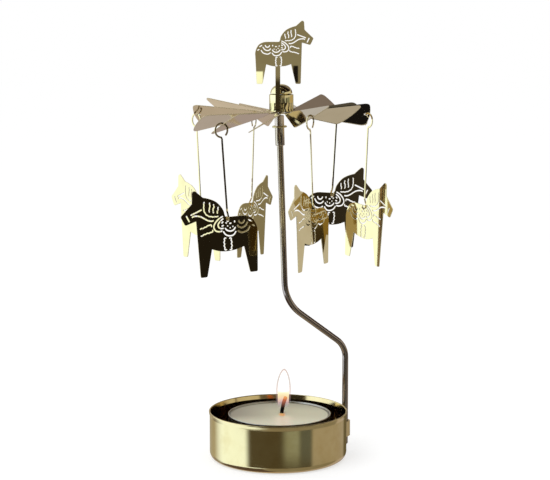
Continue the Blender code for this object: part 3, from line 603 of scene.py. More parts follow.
def makeSleeve():
    # a tube, open below and closed but for the needle's socket above, and a ring round it whose
    # section is half a width * (cos a, sin a), flattened to its height
    length, radius, ease = sleeve["length"], sleeve["radius"], sleeve["round"] / 2
    seat, shoulder = length - sleeve["topWall"] + gap, sleeve["shoulder"]
    lip = arcOf((radius - ease, ease), ease, -90, 0, 8)
    ring = arcOf((radius - shoulder, length - shoulder), shoulder, 0, 90, 5)
    profile = np.concatenate([[(sleeve["bore"], 0)], lip, ring, [(sleeve["socket"], length),
                              (sleeve["socket"], seat), (sleeve["bore"], seat)]])
    turn = turnZTo(leanLine(rod["top"]) - leanLine(rod["upperKnee"]))
    tube = placedShape(turnedShape(profile, 48), leanLine(sleeve["top"] - length), turn)
    piece("rodSleeve", tube, rodBrass, "base", ["rod_sleeve"])
    inner = radius + gap
    half = (sleeve["collarRadius"] - inner) / 2
    a = np.linspace(0, full, 16, endpoint=False)
    section = np.stack([inner + half + half * np.cos(a), sleeve["collarHeight"] / 2 * np.sin(a)], -1)
    collar = placedShape(turnedShape(section, 64), leanLine(sleeve["top"] - sleeve["collarDrop"]), turn)
    piece("sleeveCollar", collar, brightBrass, "base", ["sleeve_collar"])


needle = {"tip": 0.1373, "radius": 0.0004, "taper": 0.0016, "blunt": 0.00008, "bluntDrop": 0.0001}


def makeNeedle():
    # a pin with a long taper and a blunted point, from the rod's top to the rotor's pivot
    base = leanLine(rod["top"]) + [0, 0, gap]
    shaft = np.array([hub["x"], 0, needle["tip"]]) - base
    length, radius = np.linalg.norm(shaft), needle["radius"]
    profile = [(0, length), (needle["blunt"], length - needle["bluntDrop"]),
               (radius, length - needle["taper"]), (radius, 0), (0, 0)]
    pin = placedShape(turnedShape(profile, 32), base, turnZTo(shaft))
    piece("pivotNeedle", pin, needleSteel, "base", ["pivot_needle"])


print("rod")
makeRod()
makeSleeve()
makeNeedle()


# rotor

rotor = {"radius": 0.0324, "hub": 0.0054, "hole": 0.0032, "twistEnd": 0.0090, "slot": 0.0013,
         "corner": 0.0021, "hangPlace": 0.0310, "hangHole": 0.0008, "edge": 0.00006,
         "liftEase": 0.0015, "gridTurn": 2.5, "gridStep": 0.0007, "gridStart": 0.0036,
         "gridEnd": 0.0316, "gridClear": 0.00035, "edgeStep": 0.0006}
# bearing, lift from the hub's plane and pitch of each blade, in degrees
bladeBends = np.array([(-10, -0.6, 28), (20, -2.0, 30), (50, 1.7, 38), (80, 1.0, 30), (110, -5.8, 37),
                       (140, 2.0, 30), (170, -2.0, 30), (200, -7.0, 26), (230, -5.7, 30),
                       (260, -3.2, 30), (290, 1.1, 29), (320, 1.3, 23)], float)
hangingBlades = (-10, 50, 110, 170, 230, 290)


def bentBlank(x, y, depth):
    # The blank's sector gives the blade. Along its own bearing at length u and width w, the sheet
    # rises w sin(p) + (u - hub) tan(lift), with the pitch p eased in over the twist.
    sector = 360 / len(bladeBends)
    turn = (np.degrees(np.arctan2(y, x)) - bladeBends[0, 0] + sector / 2) % 360
    bend = bladeBends[(turn // sector).astype(int) % len(bladeBends)]
    bearing, lift, fullPitch = np.radians(bend).T
    u = x * np.cos(bearing) + y * np.sin(bearing)
    w = y * np.cos(bearing) - x * np.sin(bearing)
    t = np.clip((u - rotor["hub"]) / (rotor["twistEnd"] - rotor["hub"]), 0, 1)
    pitch = fullPitch * t * t * (3 - 2 * t)
    out = np.maximum(u - rotor["hub"], 0)
    easedLift = np.tan(lift) * np.minimum(out / rotor["liftEase"], 1)
    along = np.stack([np.cos(bearing), np.sin(bearing), 0 * u], -1)
    across = np.stack([-np.sin(bearing), np.cos(bearing), 0 * u], -1)
    up = np.array([0, 0, 1.0])
    rise = w * np.sin(pitch) + out * np.tan(lift)
    spot = along * u[:, None] + across * (w * np.cos(pitch))[:, None] + up * rise[:, None]
    flatWay = along + up * easedLift[:, None]
    sideWay = across * np.cos(pitch)[:, None] + up * np.sin(pitch)[:, None]
    normal = unit(np.cross(flatWay, sideWay))
    return spot + normal * depth[:, None] + [hub["x"], 0, hub["level"]]


def makeRotor():
    # each blade is a sector of the blank less half a slot on each side, with eased tip corners
    sector = math.pi / len(bladeBends)
    side = sector - math.asin(rotor["slot"] / 2 / rotor["radius"])
    tip = rotor["radius"] * np.array([math.cos(side), math.sin(side)])

    def half(u):
        return u * math.tan(sector) - rotor["slot"] / 2 / math.cos(sector)
    root = np.array([rotor["hub"], half(rotor["hub"])])
    rimShare = 1 - rotor["corner"] / rotor["radius"] / side
    rim = arcOf((0, 0), rotor["radius"], -math.degrees(side) * rimShare, math.degrees(side) * rimShare, 25)
    flip = np.array([1, -1])
    lower = easedCorner(root * flip, tip * flip, rim[0], rotor["corner"], 9)
    edge = evenly(np.array([root * flip, lower[0]]), rotor["edgeStep"])
    oneSide = np.concatenate([edge[:-1], lower])
    blade = np.concatenate([oneSide, rim[1:-1], (oneSide * flip)[::-1]])
    outline = np.concatenate([blade @ spinZ(bearing)[:2, :2].T for bearing in bladeBends[:, 0]])
    loops = [outline, arcOf((0, 0), rotor["hole"], 0, 360, 73)[:-1]]
    for bearing in hangingBlades:
        centre = rotor["hangPlace"] * heading(bearing)
        loops.append(arcOf(centre, rotor["hangHole"], 0, 360, 33)[:-1])
    a, r = np.meshgrid(np.radians(np.arange(0, 360, rotor["gridTurn"])),
                       np.arange(rotor["gridStart"], rotor["gridEnd"], rotor["gridStep"]))
    inner = np.stack([(r * np.cos(a)).ravel(), (r * np.sin(a)).ravel()], -1)
    inner = inner[insideLoops(inner, loops)]
    starts = np.concatenate(loops)
    near = np.min(np.linalg.norm(inner[:, None] - starts[None], axis=-1), axis=1)
    inner = inner[near > rotor["gridClear"]]
    sheet = sheetShape(loops, hub["sheet"], rotor["edge"], bentBlank, inner)
    piece("rotorSheet", sheet, bladeBrass, "rotor", ["rotor_blades"], edge=bladeEdgeBrass)


cap = {"radius": 0.0044, "wall": 0.0004, "height": 0.0063, "level": 0.1290, "domeRadius": 0.00415,
       "domeHeight": 0.0034, "domeInset": 0.00015, "ease": 0.00025, "bearingRadius": 0.0016,
       "bearingHeight": 0.0014, "dimple": 0.0007}


def makeCap():
    # a tube with eased edges, a dome of (r cos a, h sin a) with a smaller one inside it, and
    # under that the bearing, a short cylinder with a conical dimple
    inner, level, top = cap["radius"] - cap["wall"], cap["level"], cap["level"] + cap["height"]
    ease, pivot = cap["ease"], (hub["x"], 0, 0)
    foot = arcOf((cap["radius"] - ease, level + ease), ease, -90, 0, 5)
    brow = arcOf((cap["radius"] - ease, top - ease), ease, 0, 90, 6)
    lid = [(cap["domeRadius"], top), (inner, top - cap["wall"])]
    profile = np.concatenate([[(inner, level)], foot, brow, lid])
    tube = placedShape(turnedShape(profile, 96), pivot)
    piece("capCollar", tube, brightBrass, "rotor", ["hub_collar"])
    base, height = top + gap, cap["domeHeight"]
    a, b = np.radians(np.linspace(90, 0, 20)), np.radians(np.linspace(0, 90, 16))
    width = (cap["domeRadius"] - cap["domeInset"]) * np.cos(a)
    inWidth = (cap["domeRadius"] - cap["wall"] - gap) * np.cos(b)
    width[0], inWidth[-1] = 0, 0
    outside = np.stack([width, base + height * np.sin(a)], -1)
    inside = np.stack([inWidth, base + (height - cap["wall"]) * np.sin(b)], -1)
    dome = placedShape(turnedShape(np.concatenate([outside, inside]), 96), pivot)
    piece("capDome", dome, brightBrass, "rotor", ["hub_dome"])
    bottom = base + height - cap["wall"] - gap - cap["bearingHeight"]
    high, reach = bottom + cap["bearingHeight"], cap["bearingRadius"]
    profile = [(0, high), (reach / 2, high), (reach, high - cap["bearingHeight"] / 3), (reach, bottom),
               (cap["dimple"], bottom), (0, bottom + cap["dimple"])]
    bearing = placedShape(turnedShape(profile, 48), pivot)
    piece("bearingCup", bearing, needleSteel, "rotor", ["pivot_bearing"])


print("rotor")
makeRotor()
makeCap()


# horse figures

figure = {"height": 0.0311, "topHeight": 0.0227, "aspect": 0.925, "round": 0.0006, "slot": 0.00046,
          "wavySlot": 0.85, "holeRadius": 0.0005, "holeDrop": 0.0013, "holeShare": 0.388,
          "backShare": 0.664, "edge": 0.00005, "stalkLength": 0.01025, "stalkWidth": 0.00173,
          "stalkShare": 0.388, "stalkX": -0.0013, "stalkFoot": 0.0012, "stalkRise": 0.0009,
          "stalkBend": 0.0003, "stalkChamfer": 0.00004, "stalkStep": 0.00012}
# outline in thousandths of length from the tail and of height from the hooves: a bend is passed
# smoothly, a round corner is eased and a sharp one stays
figureMarks = (
    (25, 0, "round"), (126, 0, "round"), (190, 308, "sharp"),
    (268, 286, "bend"), (350, 275, "bend"), (440, 272, "bend"), (530, 285, "bend"),
    (614, 312, "sharp"), (692, 0, "round"), (781, 0, "round"),
    (800, 650, "sharp"), (944, 612, "round"), (1000, 720, "round"), (944, 766, "bend"),
    (845, 852, "sharp"), (836, 985, "round"), (800, 1000, "round"), (697, 913, "sharp"),
    (614, 890, "bend"), (532, 852, "bend"), (474, 798, "bend"), (437, 741, "bend"),
    (424, 690, "bend"), (408, 664, "sharp"),
    (284, 664, "bend"), (160, 660, "bend"), (75, 628, "bend"), (25, 567, "bend"),
    (0, 490, "bend"), (4, 400, "bend"))
# pierced lines in the same thousandths; dots give their number, and a wavy line gives its waves
# and how far they swell to its left
figureLines = (
    ("wavy", ((681, 864), (690, 808), (684, 746), (646, 703), (582, 684), (507, 683)), 7, 0.00010),
    ("wavy", ((612, 849), (611, 801), (622, 766), (620, 736)), 3, 0.00010),
    ("wavy", ((563, 827), (557, 795), (572, 762), (567, 722)), 3, 0.00010),
    ("wavy", ((505, 791), (506, 764), (516, 739), (518, 713)), 2, 0.00010),
    ("plain", ((717, 777), (868, 725))),
    ("plain", ((852, 699), (816, 711), (742, 699), (655, 650), (605, 635), (572, 640))),
    ("plain", ((924, 725), (887, 652))),
    ("wavy", ((757, 556), (700, 566), (622, 592), (604, 568)), 4, -0.00016),
    ("wavy", ((752, 477), (680, 500), (606, 512), (590, 536)), 4, 0.00016),
    ("plain", ((448, 677), (504, 652), (557, 605), (575, 560), (552, 519), (503, 505), (464, 512))),
    ("plain", ((445, 651), (488, 623), (517, 587), (510, 555), (480, 538), (446, 540))),
    ("plain", ((472, 597), (447, 618))),
    ("plain", ((474, 564), (443, 574))),
    ("plain", ((455, 506), (425, 465), (375, 445), (323, 452), (285, 492))),
    ("plain", ((430, 541), (401, 511), (361, 499), (320, 508), (290, 540))),
    ("dots", ((393, 561), (359, 536), (324, 549)), 3),
    ("plain", ((418, 604), (403, 590))),
    ("plain", ((299, 616), (299, 592))),
    ("plain", ((341, 588), (372, 588))),
    ("plain", ((100, 534), (136, 489), (203, 470), (240, 478), (264, 497))),
    ("plain", ((129, 584), (165, 541), (212, 526), (247, 538), (266, 560))),
    ("plain", ((170, 613), (184, 588), (210, 577), (236, 588), (248, 611))),
    ("plain", ((118, 612), (72, 582))),
    ("plain", ((72, 547), (36, 528))),
    ("wavy", ((418, 424), (440, 412), (445, 357), (440, 302), (418, 291)), 4, 0.00026),
    ("wavy", ((383, 418), (361, 408), (357, 354), (361, 299), (383, 288)), 4, -0.00026))


def roundedAt(loop, corner, size):
    # the points within about a size of the corner give way to a curve between the two cut ends
    loop = np.roll(loop, -int(np.argmin(np.linalg.norm(loop - corner, axis=1))), 0)
    away = np.linalg.norm(loop - corner, axis=1) > size * 1.05
    first = int(np.argmax(away))
    last = len(loop) - 1 - int(np.argmax(away[::-1]))
    curve = easedCorner(loop[last], corner, loop[first], size)
    return np.concatenate([loop[first:last + 1], curve])


def leftOf(path):
    # unit normals on the left of a flat path
    ahead = unit(np.gradient(path, axis=0))
    return np.stack([-ahead[:, 1], ahead[:, 0]], -1)


def strokeLoop(path, width):
    # path plus and minus half the width along its normal, closed by round ends
    normal = leftOf(path)
    along = lengthsAlong(path)
    fromEnd = np.minimum(along, along[-1] - along)
    half = width / 2 * np.sqrt(1 - np.clip(1 - fromEnd / (width / 2), 0, 1)**2)
    left, right = path + normal * half[:, None], path - normal * half[:, None]
    return np.concatenate([left[:-1], right[:0:-1]])


def cutLoops(kind, knots, width, count=0, swell=0.0):
    # one pierced line as closed loops; a wavy one swells to its left by swell * sin(pi count t)^2
    path = smoothRun(knots, 10) if len(knots) > 2 else np.asarray(knots, float)
    if kind == "dots":
        return [arcOf(spot, width * 0.5, 0, 360, 13)[:-1] for spot in shared(path, count)]
    path = evenly(path, width / 5)
    if kind == "wavy":
        wave = swell * np.sin(math.pi * count * np.linspace(0, 1, len(path)))**2
        path = evenly(path + leftOf(path) * wave[:, None], width / 5)
        width = width * figure["wavySlot"]
    return [strokeLoop(path, width)]


def figureLoops(height, stalkDrop=None):
    # outline and pierced lines of a horse from its tail's and hooves' corner, nose towards +x
    size = np.array([height * figure["aspect"], height])
    marks = [(*(np.array(mark[:2]) / 1000 * size), mark[2]) for mark in figureMarks]
    if stalkDrop is not None:
        middle, half = figure["stalkShare"] * size[0], figure["stalkWidth"] / 2
        seat = marks[4][1]
        stalk = [(middle - half, seat, "sharp"), (middle - half, -stalkDrop, "sharp"),
                 (middle + half, -stalkDrop, "sharp"), (middle + half, seat, "sharp")]
        marks = marks[:4] + stalk + marks[6:]
    marks.append(marks[0])
    outline, run = [], [marks[0][:2]]
    for x, z, kind in marks[1:]:
        run.append((x, z))
        if kind != "bend":
            part = smoothRun(run, 7)[:-1] if len(run) > 2 else np.array(run[:-1])
            outline.append(part)
            run = [(x, z)]
    outline = np.concatenate(outline)
    scale = height / figure["height"]
    for x, z, kind in marks:
        if kind == "round":
            outline = roundedAt(outline, np.array([x, z]), figure["round"] * scale)
    loops = [outline]
    for line in figureLines:
        knots = np.array(line[1]) / 1000 * size
        rest = line[2:] if len(line) < 4 else (line[2], line[3] * scale)
        loops += cutLoops(line[0], knots, figure["slot"] * scale, *rest)
    return loops


def makeTopHorse():
    # the flat figure upright in front of the cap, and the foot of its stalk bent out on the hub
    height, front = figure["topHeight"], cap["radius"] + gap + hub["sheet"] / 2
    origin = np.array([hub["x"] + figure["stalkX"] - figure["stalkShare"] * height * figure["aspect"],
                       -front, cap["level"] + figure["stalkLength"]])

    def upright(x, z, depth):
        return np.stack([x, depth, z], -1) + origin
    loops = figureLoops(height, figure["stalkLength"] - hub["sheet"] / 2)
    sheet = sheetShape(loops, hub["sheet"], figure["edge"], upright)
    piece("topFigure", sheet, clearBrass, "rotor", ["top_horse"], edge=cutBrass)
    level, turn = cap["level"] + hub["sheet"] / 2, figure["stalkBend"]
    bend = arcOf((-front - turn, level + turn), turn, -90, 0, 8)
    end, rise = (-front - figure["stalkFoot"], level), (-front, level + figure["stalkRise"])
    spine = np.array([end, *bend, rise])
    spine = np.column_stack([np.full(len(spine), hub["x"] + figure["stalkX"]), spine])
    section = flatSection(figure["stalkWidth"] / 2, hub["sheet"] / 2, figure["stalkChamfer"])
    strip = sweptShape(evenly(spine, figure["stalkStep"]), (1, 0, 0), section, 0.2)
    piece("stalkFoot", strip, clearBrass, "rotor", ())


# ring's centre in mm; in degrees, the figure's balance about it, the bearing of the nose, the ring's
# turn and the wire's lean; share of the wire's length
pendants = (
    ((32.442, -6.573, 126.273), 4.76, -58, 0, -1, 1.012),
    ((22.371, 24.397, 127.321), 5.69, 27, 0, -2, 1.0),
    ((-9.174, 29.927, 123.647), 3.85, 63, 9, 0, 1.02),
    ((-30.078, 6.210, 125.465), 2.16, 131, 0, 2, 1.0),
    ((-19.914, -24.558, 123.994), 3.04, 203, 8, 1, 1.0),
    ((10.999, -30.470, 127.141), 2.16, 240, 0, 2, 1.0))
wire = {"width": 0.00031, "depth": 0.00016, "chamfer": 0.00005, "ring": 0.00245, "length": 0.0320,
        "open": 232, "close": -84, "shankStart": 0.0006, "step": 0.001, "loop": 0.000975,
        "loopRise": 0.0014, "curl": -205}


def hookPath(hole, ringTurn):
    # open ring, shank, and once through the hole in the back; the ring's centre is zero
    a = np.radians(np.linspace(wire["open"], wire["close"], 60))
    ring = np.stack([wire["ring"] * np.cos(a), 0 * a, wire["ring"] * np.sin(a)], -1) @ spinZ(ringTurn).T
    down = unit(hole)
    start = down * (wire["ring"] + wire["shankStart"])
    up, out, loop = np.array([0, 0, 1.0]), np.array([0, 1.0, 0]), wire["loop"]
    centre = hole + up * loop
    shankEnd = centre - down * (loop + wire["loopRise"])
    entry = [centre + up * 1.5 * loop + out * 0.35 * loop, centre + up * 0.55 * loop + out * 0.85 * loop]
    a = np.radians(np.linspace(0, wire["curl"], 7))
    curl = centre + out * (loop * np.cos(a))[:, None] + up * (loop * np.sin(a))[:, None]
    tail = smoothRun(np.concatenate([[shankEnd], entry, curl]), 6)
    shank = evenly(np.array([start, shankEnd]), wire["step"])
    path = np.concatenate([ring, shank, tail[1:]])
    flat = np.cross(unit(np.gradient(path, axis=0)), [0, 1.0, 0] @ spinZ(ringTurn).T)
    flat[len(ring):] = [1.0, 0, 0]
    flat[len(ring) - 1] = flat[len(ring) - 2]
    return path, flat


def makePendant(number, centre, balance, nose, ringTurn, lean, share):
    # the wire from its ring at the centre down to the hole in the horse's back, and the horse
    turn = spinZ(nose) @ spinY(balance)
    origin = np.array(centre) / 1000
    slant = math.radians(lean)
    hole = np.array([-math.sin(slant), 0, -math.cos(slant)]) * wire["length"] * share
    path, flat = hookPath(hole, ringTurn)
    section = flatSection(wire["width"], wire["depth"], wire["chamfer"])
    strip = placedShape(sweptShape(path, flat, section, 0.3), origin, turn)
    body = f"pendant_{number}"
    piece(f"hookStrip{number}", strip, mirrorBrass, body, [f"hook_wire_{number}"])
    height = figure["height"]
    size = np.array([height * figure["aspect"], height])
    eye = np.array([figure["holeShare"] * size[0], figure["backShare"] * height - figure["holeDrop"]])
    loops = figureLoops(height) + [arcOf(eye, figure["holeRadius"], 0, 360, 25)[:-1]]

    def hung(x, z, depth):
        local = np.stack([x + hole[0] - eye[0], depth, z + hole[2] - eye[1]], -1)
        return placed(local, origin, turn)
    sheet = sheetShape(loops, hub["sheet"], figure["edge"], hung)
    piece(f"figure{number}", sheet, mirrorBrass, body, [f"horse_{number}"], edge=cutBrass)


print("figures")
makeTopHorse()
for number, row in enumerate(pendants, start=1):
    makePendant(number, *row)


# tealight and flame

tealight = {"x": 0.0005, "floor": 0.0009, "radius": 0.0190, "height": 0.0158, "wall": 0.0003,
            "corner": 0.0012, "lip": 0.0004, "roll": 0.0002, "waxDrop": 0.0007, "waxGap": 0.0001,
            "wickX": 0.0009, "wickY": 0.0022, "wickRadius": 0.0007, "wickStand": 0.0064,
            "wickBend": 0.0016, "wickDepth": 0.004, "wickStep": 0.0003}
# wax colours: left and far are painted shade, edge a painted shadow line inside the tin, right and near
# painted light, trail and glow painted reflections of the flame and the wick's glowing end
wax = {"left": (0.29, 0.26, 0.19), "right": (0.58, 0.55, 0.39), "far": (0.36, 0.34, 0.25),
       "near": (0.72, 0.69, 0.51), "flameReflectionTrail": (0.84, 0.72, 0.55), "glow": (0.90, 0.46, 0.17),
       "edge": (0.20, 0.18, 0.13), "shadowLineRadius": 0.0179, "rough": 0.40, "bump": 0.15}
wickLook = {"char": (0.005, 0.004, 0.004), "rough": 0.9, "bump": 0.5, "plait": 700.0,
            "glow": ((0.36, (0.0, 0.0, 0.0)), (0.53, (0.10, 0.022, 0.006)), (0.70, (0.30, 0.075, 0.02)),
                     (0.83, (0.55, 0.11, 0.02)), (0.97, (0.90, 0.36, 0.08)))}


def waxFinish():
    # cream paraffin with painted light and shade: painted shade on the left and at the back, painted
    # light in front of the flame, painted reflections of the flame and the wick's glowing end, and a
    # painted shadow line inside the tin's edge
    made, graph = material("candle_wax")
    spot = graph.spot()
    x, y, z = graph.axes(spot)
    cloud = graph.noise(spot, 160.0, 3.0, 0.5)
    # painted shade: darker on the left and at the back, lighter on the right
    colour = graph.mix(wax["left"], wax["right"], graph.ramp(x + cloud * 0.004, -0.017, 0.006))
    colour = graph.mix(colour, wax["far"], graph.ramp(y, 0.004, 0.017) * 0.7)
    # painted light: the wax lighter in front of the flame
    near = 1 - graph.ramp(y, -0.013, 0.0)
    colour = graph.mix(colour, wax["near"], near * 0.75)
    # painted reflection of the flame, trailing forward from the wick
    foot = tealight["x"] + tealight["wickX"]
    aside = graph.maths("ABSOLUTE", x - (foot + 0.0004))
    flameReflectionTrail = (1 - graph.ramp(aside, 0.0004, 0.0050)) * (1 - graph.ramp(y, -0.0060, 0.0005))
    colour = graph.mix(colour, wax["flameReflectionTrail"], flameReflectionTrail * 0.9)
    # painted reflection of the wick's glowing end and the flame, orange at the wick's foot
    glow = graph.distance(graph.scaled(spot, (1.0, 0.5, 0.0)), (foot + 0.0001, -0.0002, 0.0))
    colour = graph.mix(colour, wax["glow"], 1 - graph.ramp(glow, 0.0005, 0.0017))
    # painted shadow: a dark line on the wax inside the tin's edge
    away = graph.distance(graph.scaled(spot, (1.0, 1.0, 0.0)), (tealight["x"], 0.0, 0.0))
    edge = graph.ramp(away, wax["shadowLineRadius"], wax["shadowLineRadius"] + 0.0003)
    colour = graph.mix(colour, wax["edge"], edge)
    finishWith(graph, {"Subsurface Weight": 0.1, "Subsurface Scale": 0.002, "IOR": 1.44}, colour,
               wax["rough"] - near * 0.1, cloud, wax["bump"])
    return made


def wickFinish():
    # charred cotton with a glowing end: plaited ridges, black to orange by height
    made, graph = material("burning_wick")
    spot = graph.spot()
    height = graph.axes(spot)[2]
    top = tealight["floor"] + tealight["height"] - tealight["waxDrop"]
    plait = graph.node("ShaderNodeTexWave", {"bands_direction": "DIAGONAL"},
                       {"Vector": spot, "Scale": wickLook["plait"], "Distortion": 2.0})
    share = (height - top) / tealight["wickStand"] + plait * 0.03
    glowing = graph.stops(wickLook["glow"], share)
    finishWith(graph, {"Emission Color": glowing, "Emission Strength": 1.0, "Specular IOR Level": 0.1},
               wickLook["char"], wickLook["rough"], plait, wickLook["bump"])
    return made


def makeTealight():
    # a turned tin with a rolled lip, a turned block of wax, and a wick that leans at its top
    x, floor, radius, wall = tealight["x"], tealight["floor"], tealight["radius"], tealight["wall"]
    height, corner = tealight["height"], tealight["corner"]
    inner, lip = radius - wall, height - tealight["lip"]
    outside = arcOf((radius - corner, corner), corner, -90, 0, 8)
    bead = tealight["roll"]
    roll = arcOf((radius - bead * 0.4, lip + bead * 0.8), bead, -40, 200, 11)
    inside = arcOf((radius - corner, corner), corner - wall, 0, -90, 8)
    rim, end = [(inner, lip)], [(0, wall)]
    profile = np.concatenate([[(0, 0)], outside, [(radius, lip)], roll, rim, inside, end])
    tin = placedShape(turnedShape(profile, 128), (x, 0, floor))
    piece("lightCup", tin, tealightTin, "tealight", ["tealight_cup"])
    bottom, top, side = wall + gap, height - tealight["waxDrop"], inner - tealight["waxGap"]
    # the surface stands a little higher at the tin and at the wick
    surface = [(side, top + 0.00015), (side - 0.0004, top + 0.00002), (side - 0.0012, top), (0.004, top),
               (0.0022, top + 0.00006), (0.0011, top + 0.00022), (0, top + 0.00022)]
    profile = np.concatenate([[(0, bottom), (side - corner, bottom), (side, bottom + corner)], surface])
    block = placedShape(turnedShape(profile, 128), (x, 0, floor))
    piece("waxBlock", block, waxFinish(), "tealight", ["tealight_wax", "wick_sustainer"])
    foot = np.array([x + tealight["wickX"], tealight["wickY"], floor])
    stand, lean = tealight["wickStand"], tealight["wickBend"]
    knots = [(0, 0, top - tealight["wickDepth"]), (0, 0, top), (lean / 5, 0, top + stand / 3),
             (lean / 2, 0, top + stand * 2 / 3), (lean, 0, top + stand)]
    path = placed(evenly(smoothRun(knots, 8), tealight["wickStep"]), foot)
    cord = sweptShape(path, (0, 1, 0), roundSection(tealight["wickRadius"], 20))
    piece("wick", cord, wickFinish(), "tealight", ["tealight_wick"])
    return foot + [0, 0, top]


flame = {"height": 0.0170, "radius": 0.00280, "skin": 0.00062, "low": 0.0004, "lean": 0.00035,
         "x": 0.00053, "foot": 0.14, "widest": 0.45, "fall": 2.2, "tip": 0.62, "strength": 1.6,
         "colours": ((0.14, (0.37, 0.31, 0.39)), (0.22, (0.54, 0.36, 0.35)), (0.29, (0.62, 0.43, 0.31)),
                     (0.35, (0.65, 0.53, 0.30)), (0.41, (0.70, 0.66, 0.40)), (0.47, (0.82, 0.80, 0.60)),
                     (0.54, (1.0, 1.0, 1.0))),
         "dense": ((0.10, 0.0), (0.17, 0.22), (0.25, 0.80), (0.31, 0.97), (0.40, 1.0)),
         "skinColours": ((0.30, (0.62, 0.45, 0.50)), (0.50, (0.55, 0.24, 0.12)), (0.75, (0.34, 0.20, 0.10)),
                         (1.0, (0.42, 0.14, 0.03))),
         "skinDense": ((0.15, 0.0), (0.32, 0.10), (0.52, 0.24), (1.0, 0.30))}


def flameFinish(name, foot, colours, strength, dense, clearFront):
    # colour and density by height above the wax; near the wick the heart glows on its far side,
    # so that the wick stays in sight
    made, graph = material(name)
    x, y, z = graph.axes(graph.spot())
    share = (z - foot[2]) / flame["height"]
    colour = graph.stops(colours, share)
    alpha = graph.stops([(spot, (level,) * 3) for spot, level in dense], share)
    if clearFront:
        far = graph.ramp(y, foot[1] - 0.0004, foot[1] + 0.0010)
        alpha = alpha * (1 - (1 - graph.ramp(share, 0.46, 0.54)) * (1 - far))
    finishWith(graph, {"Emission Color": colour, "Emission Strength": strength, "Alpha": alpha,
                       "Specular IOR Level": 0.0}, (0.0, 0.0, 0.0), 1.0)
    return made


def makeFlame(foot):
    # a rounded drop: quarter circle over the foot, nearly straight sides, and from the widest
    # share w up to the tip (1 - ((s - w) / (1 - w))^fall)^tip
    widest = flame["widest"]
    share = 0.5 - 0.5 * np.cos(np.linspace(0, math.pi, 48))
    low = np.sqrt(1 - (1 - np.clip(share / flame["foot"], 0, 1))**2)
    low = low * (0.92 + 0.08 * np.clip(share / widest, 0, 1))
    high = (np.clip(share - widest, 0, 1) / (1 - widest))**flame["fall"]
    high = np.clip(1 - high, 0, 1)**flame["tip"]
    body = np.where(share < widest, low, high)
    body[0], body[-1] = 0, 0
    heart = flameFinish("flame_heart", foot, flame["colours"], flame["strength"], flame["dense"], True)
    skin = flameFinish("flame_skin", foot, flame["skinColours"], 1.0, flame["skinDense"], False)
    for name, inset, finish in (("flameHeart", flame["skin"], heart), ("flameSkin", 0, skin)):
        rise = flame["low"] + inset + share * (flame["height"] - flame["low"] - inset * 2)
        profile = np.stack([body * (flame["radius"] - inset), rise], -1)
        points, faces = turnedShape(profile, 48)
        points[:, 0] += flame["x"] + (points[:, 2] / flame["height"])**2 * flame["lean"]
        drop = piece(name, (placed(points, foot), faces), finish, "tealight", crease=180)
        drop.visible_shadow = False
        drop.visible_glossy = False


print("tealight")
makeFlame(makeTealight())


# studio

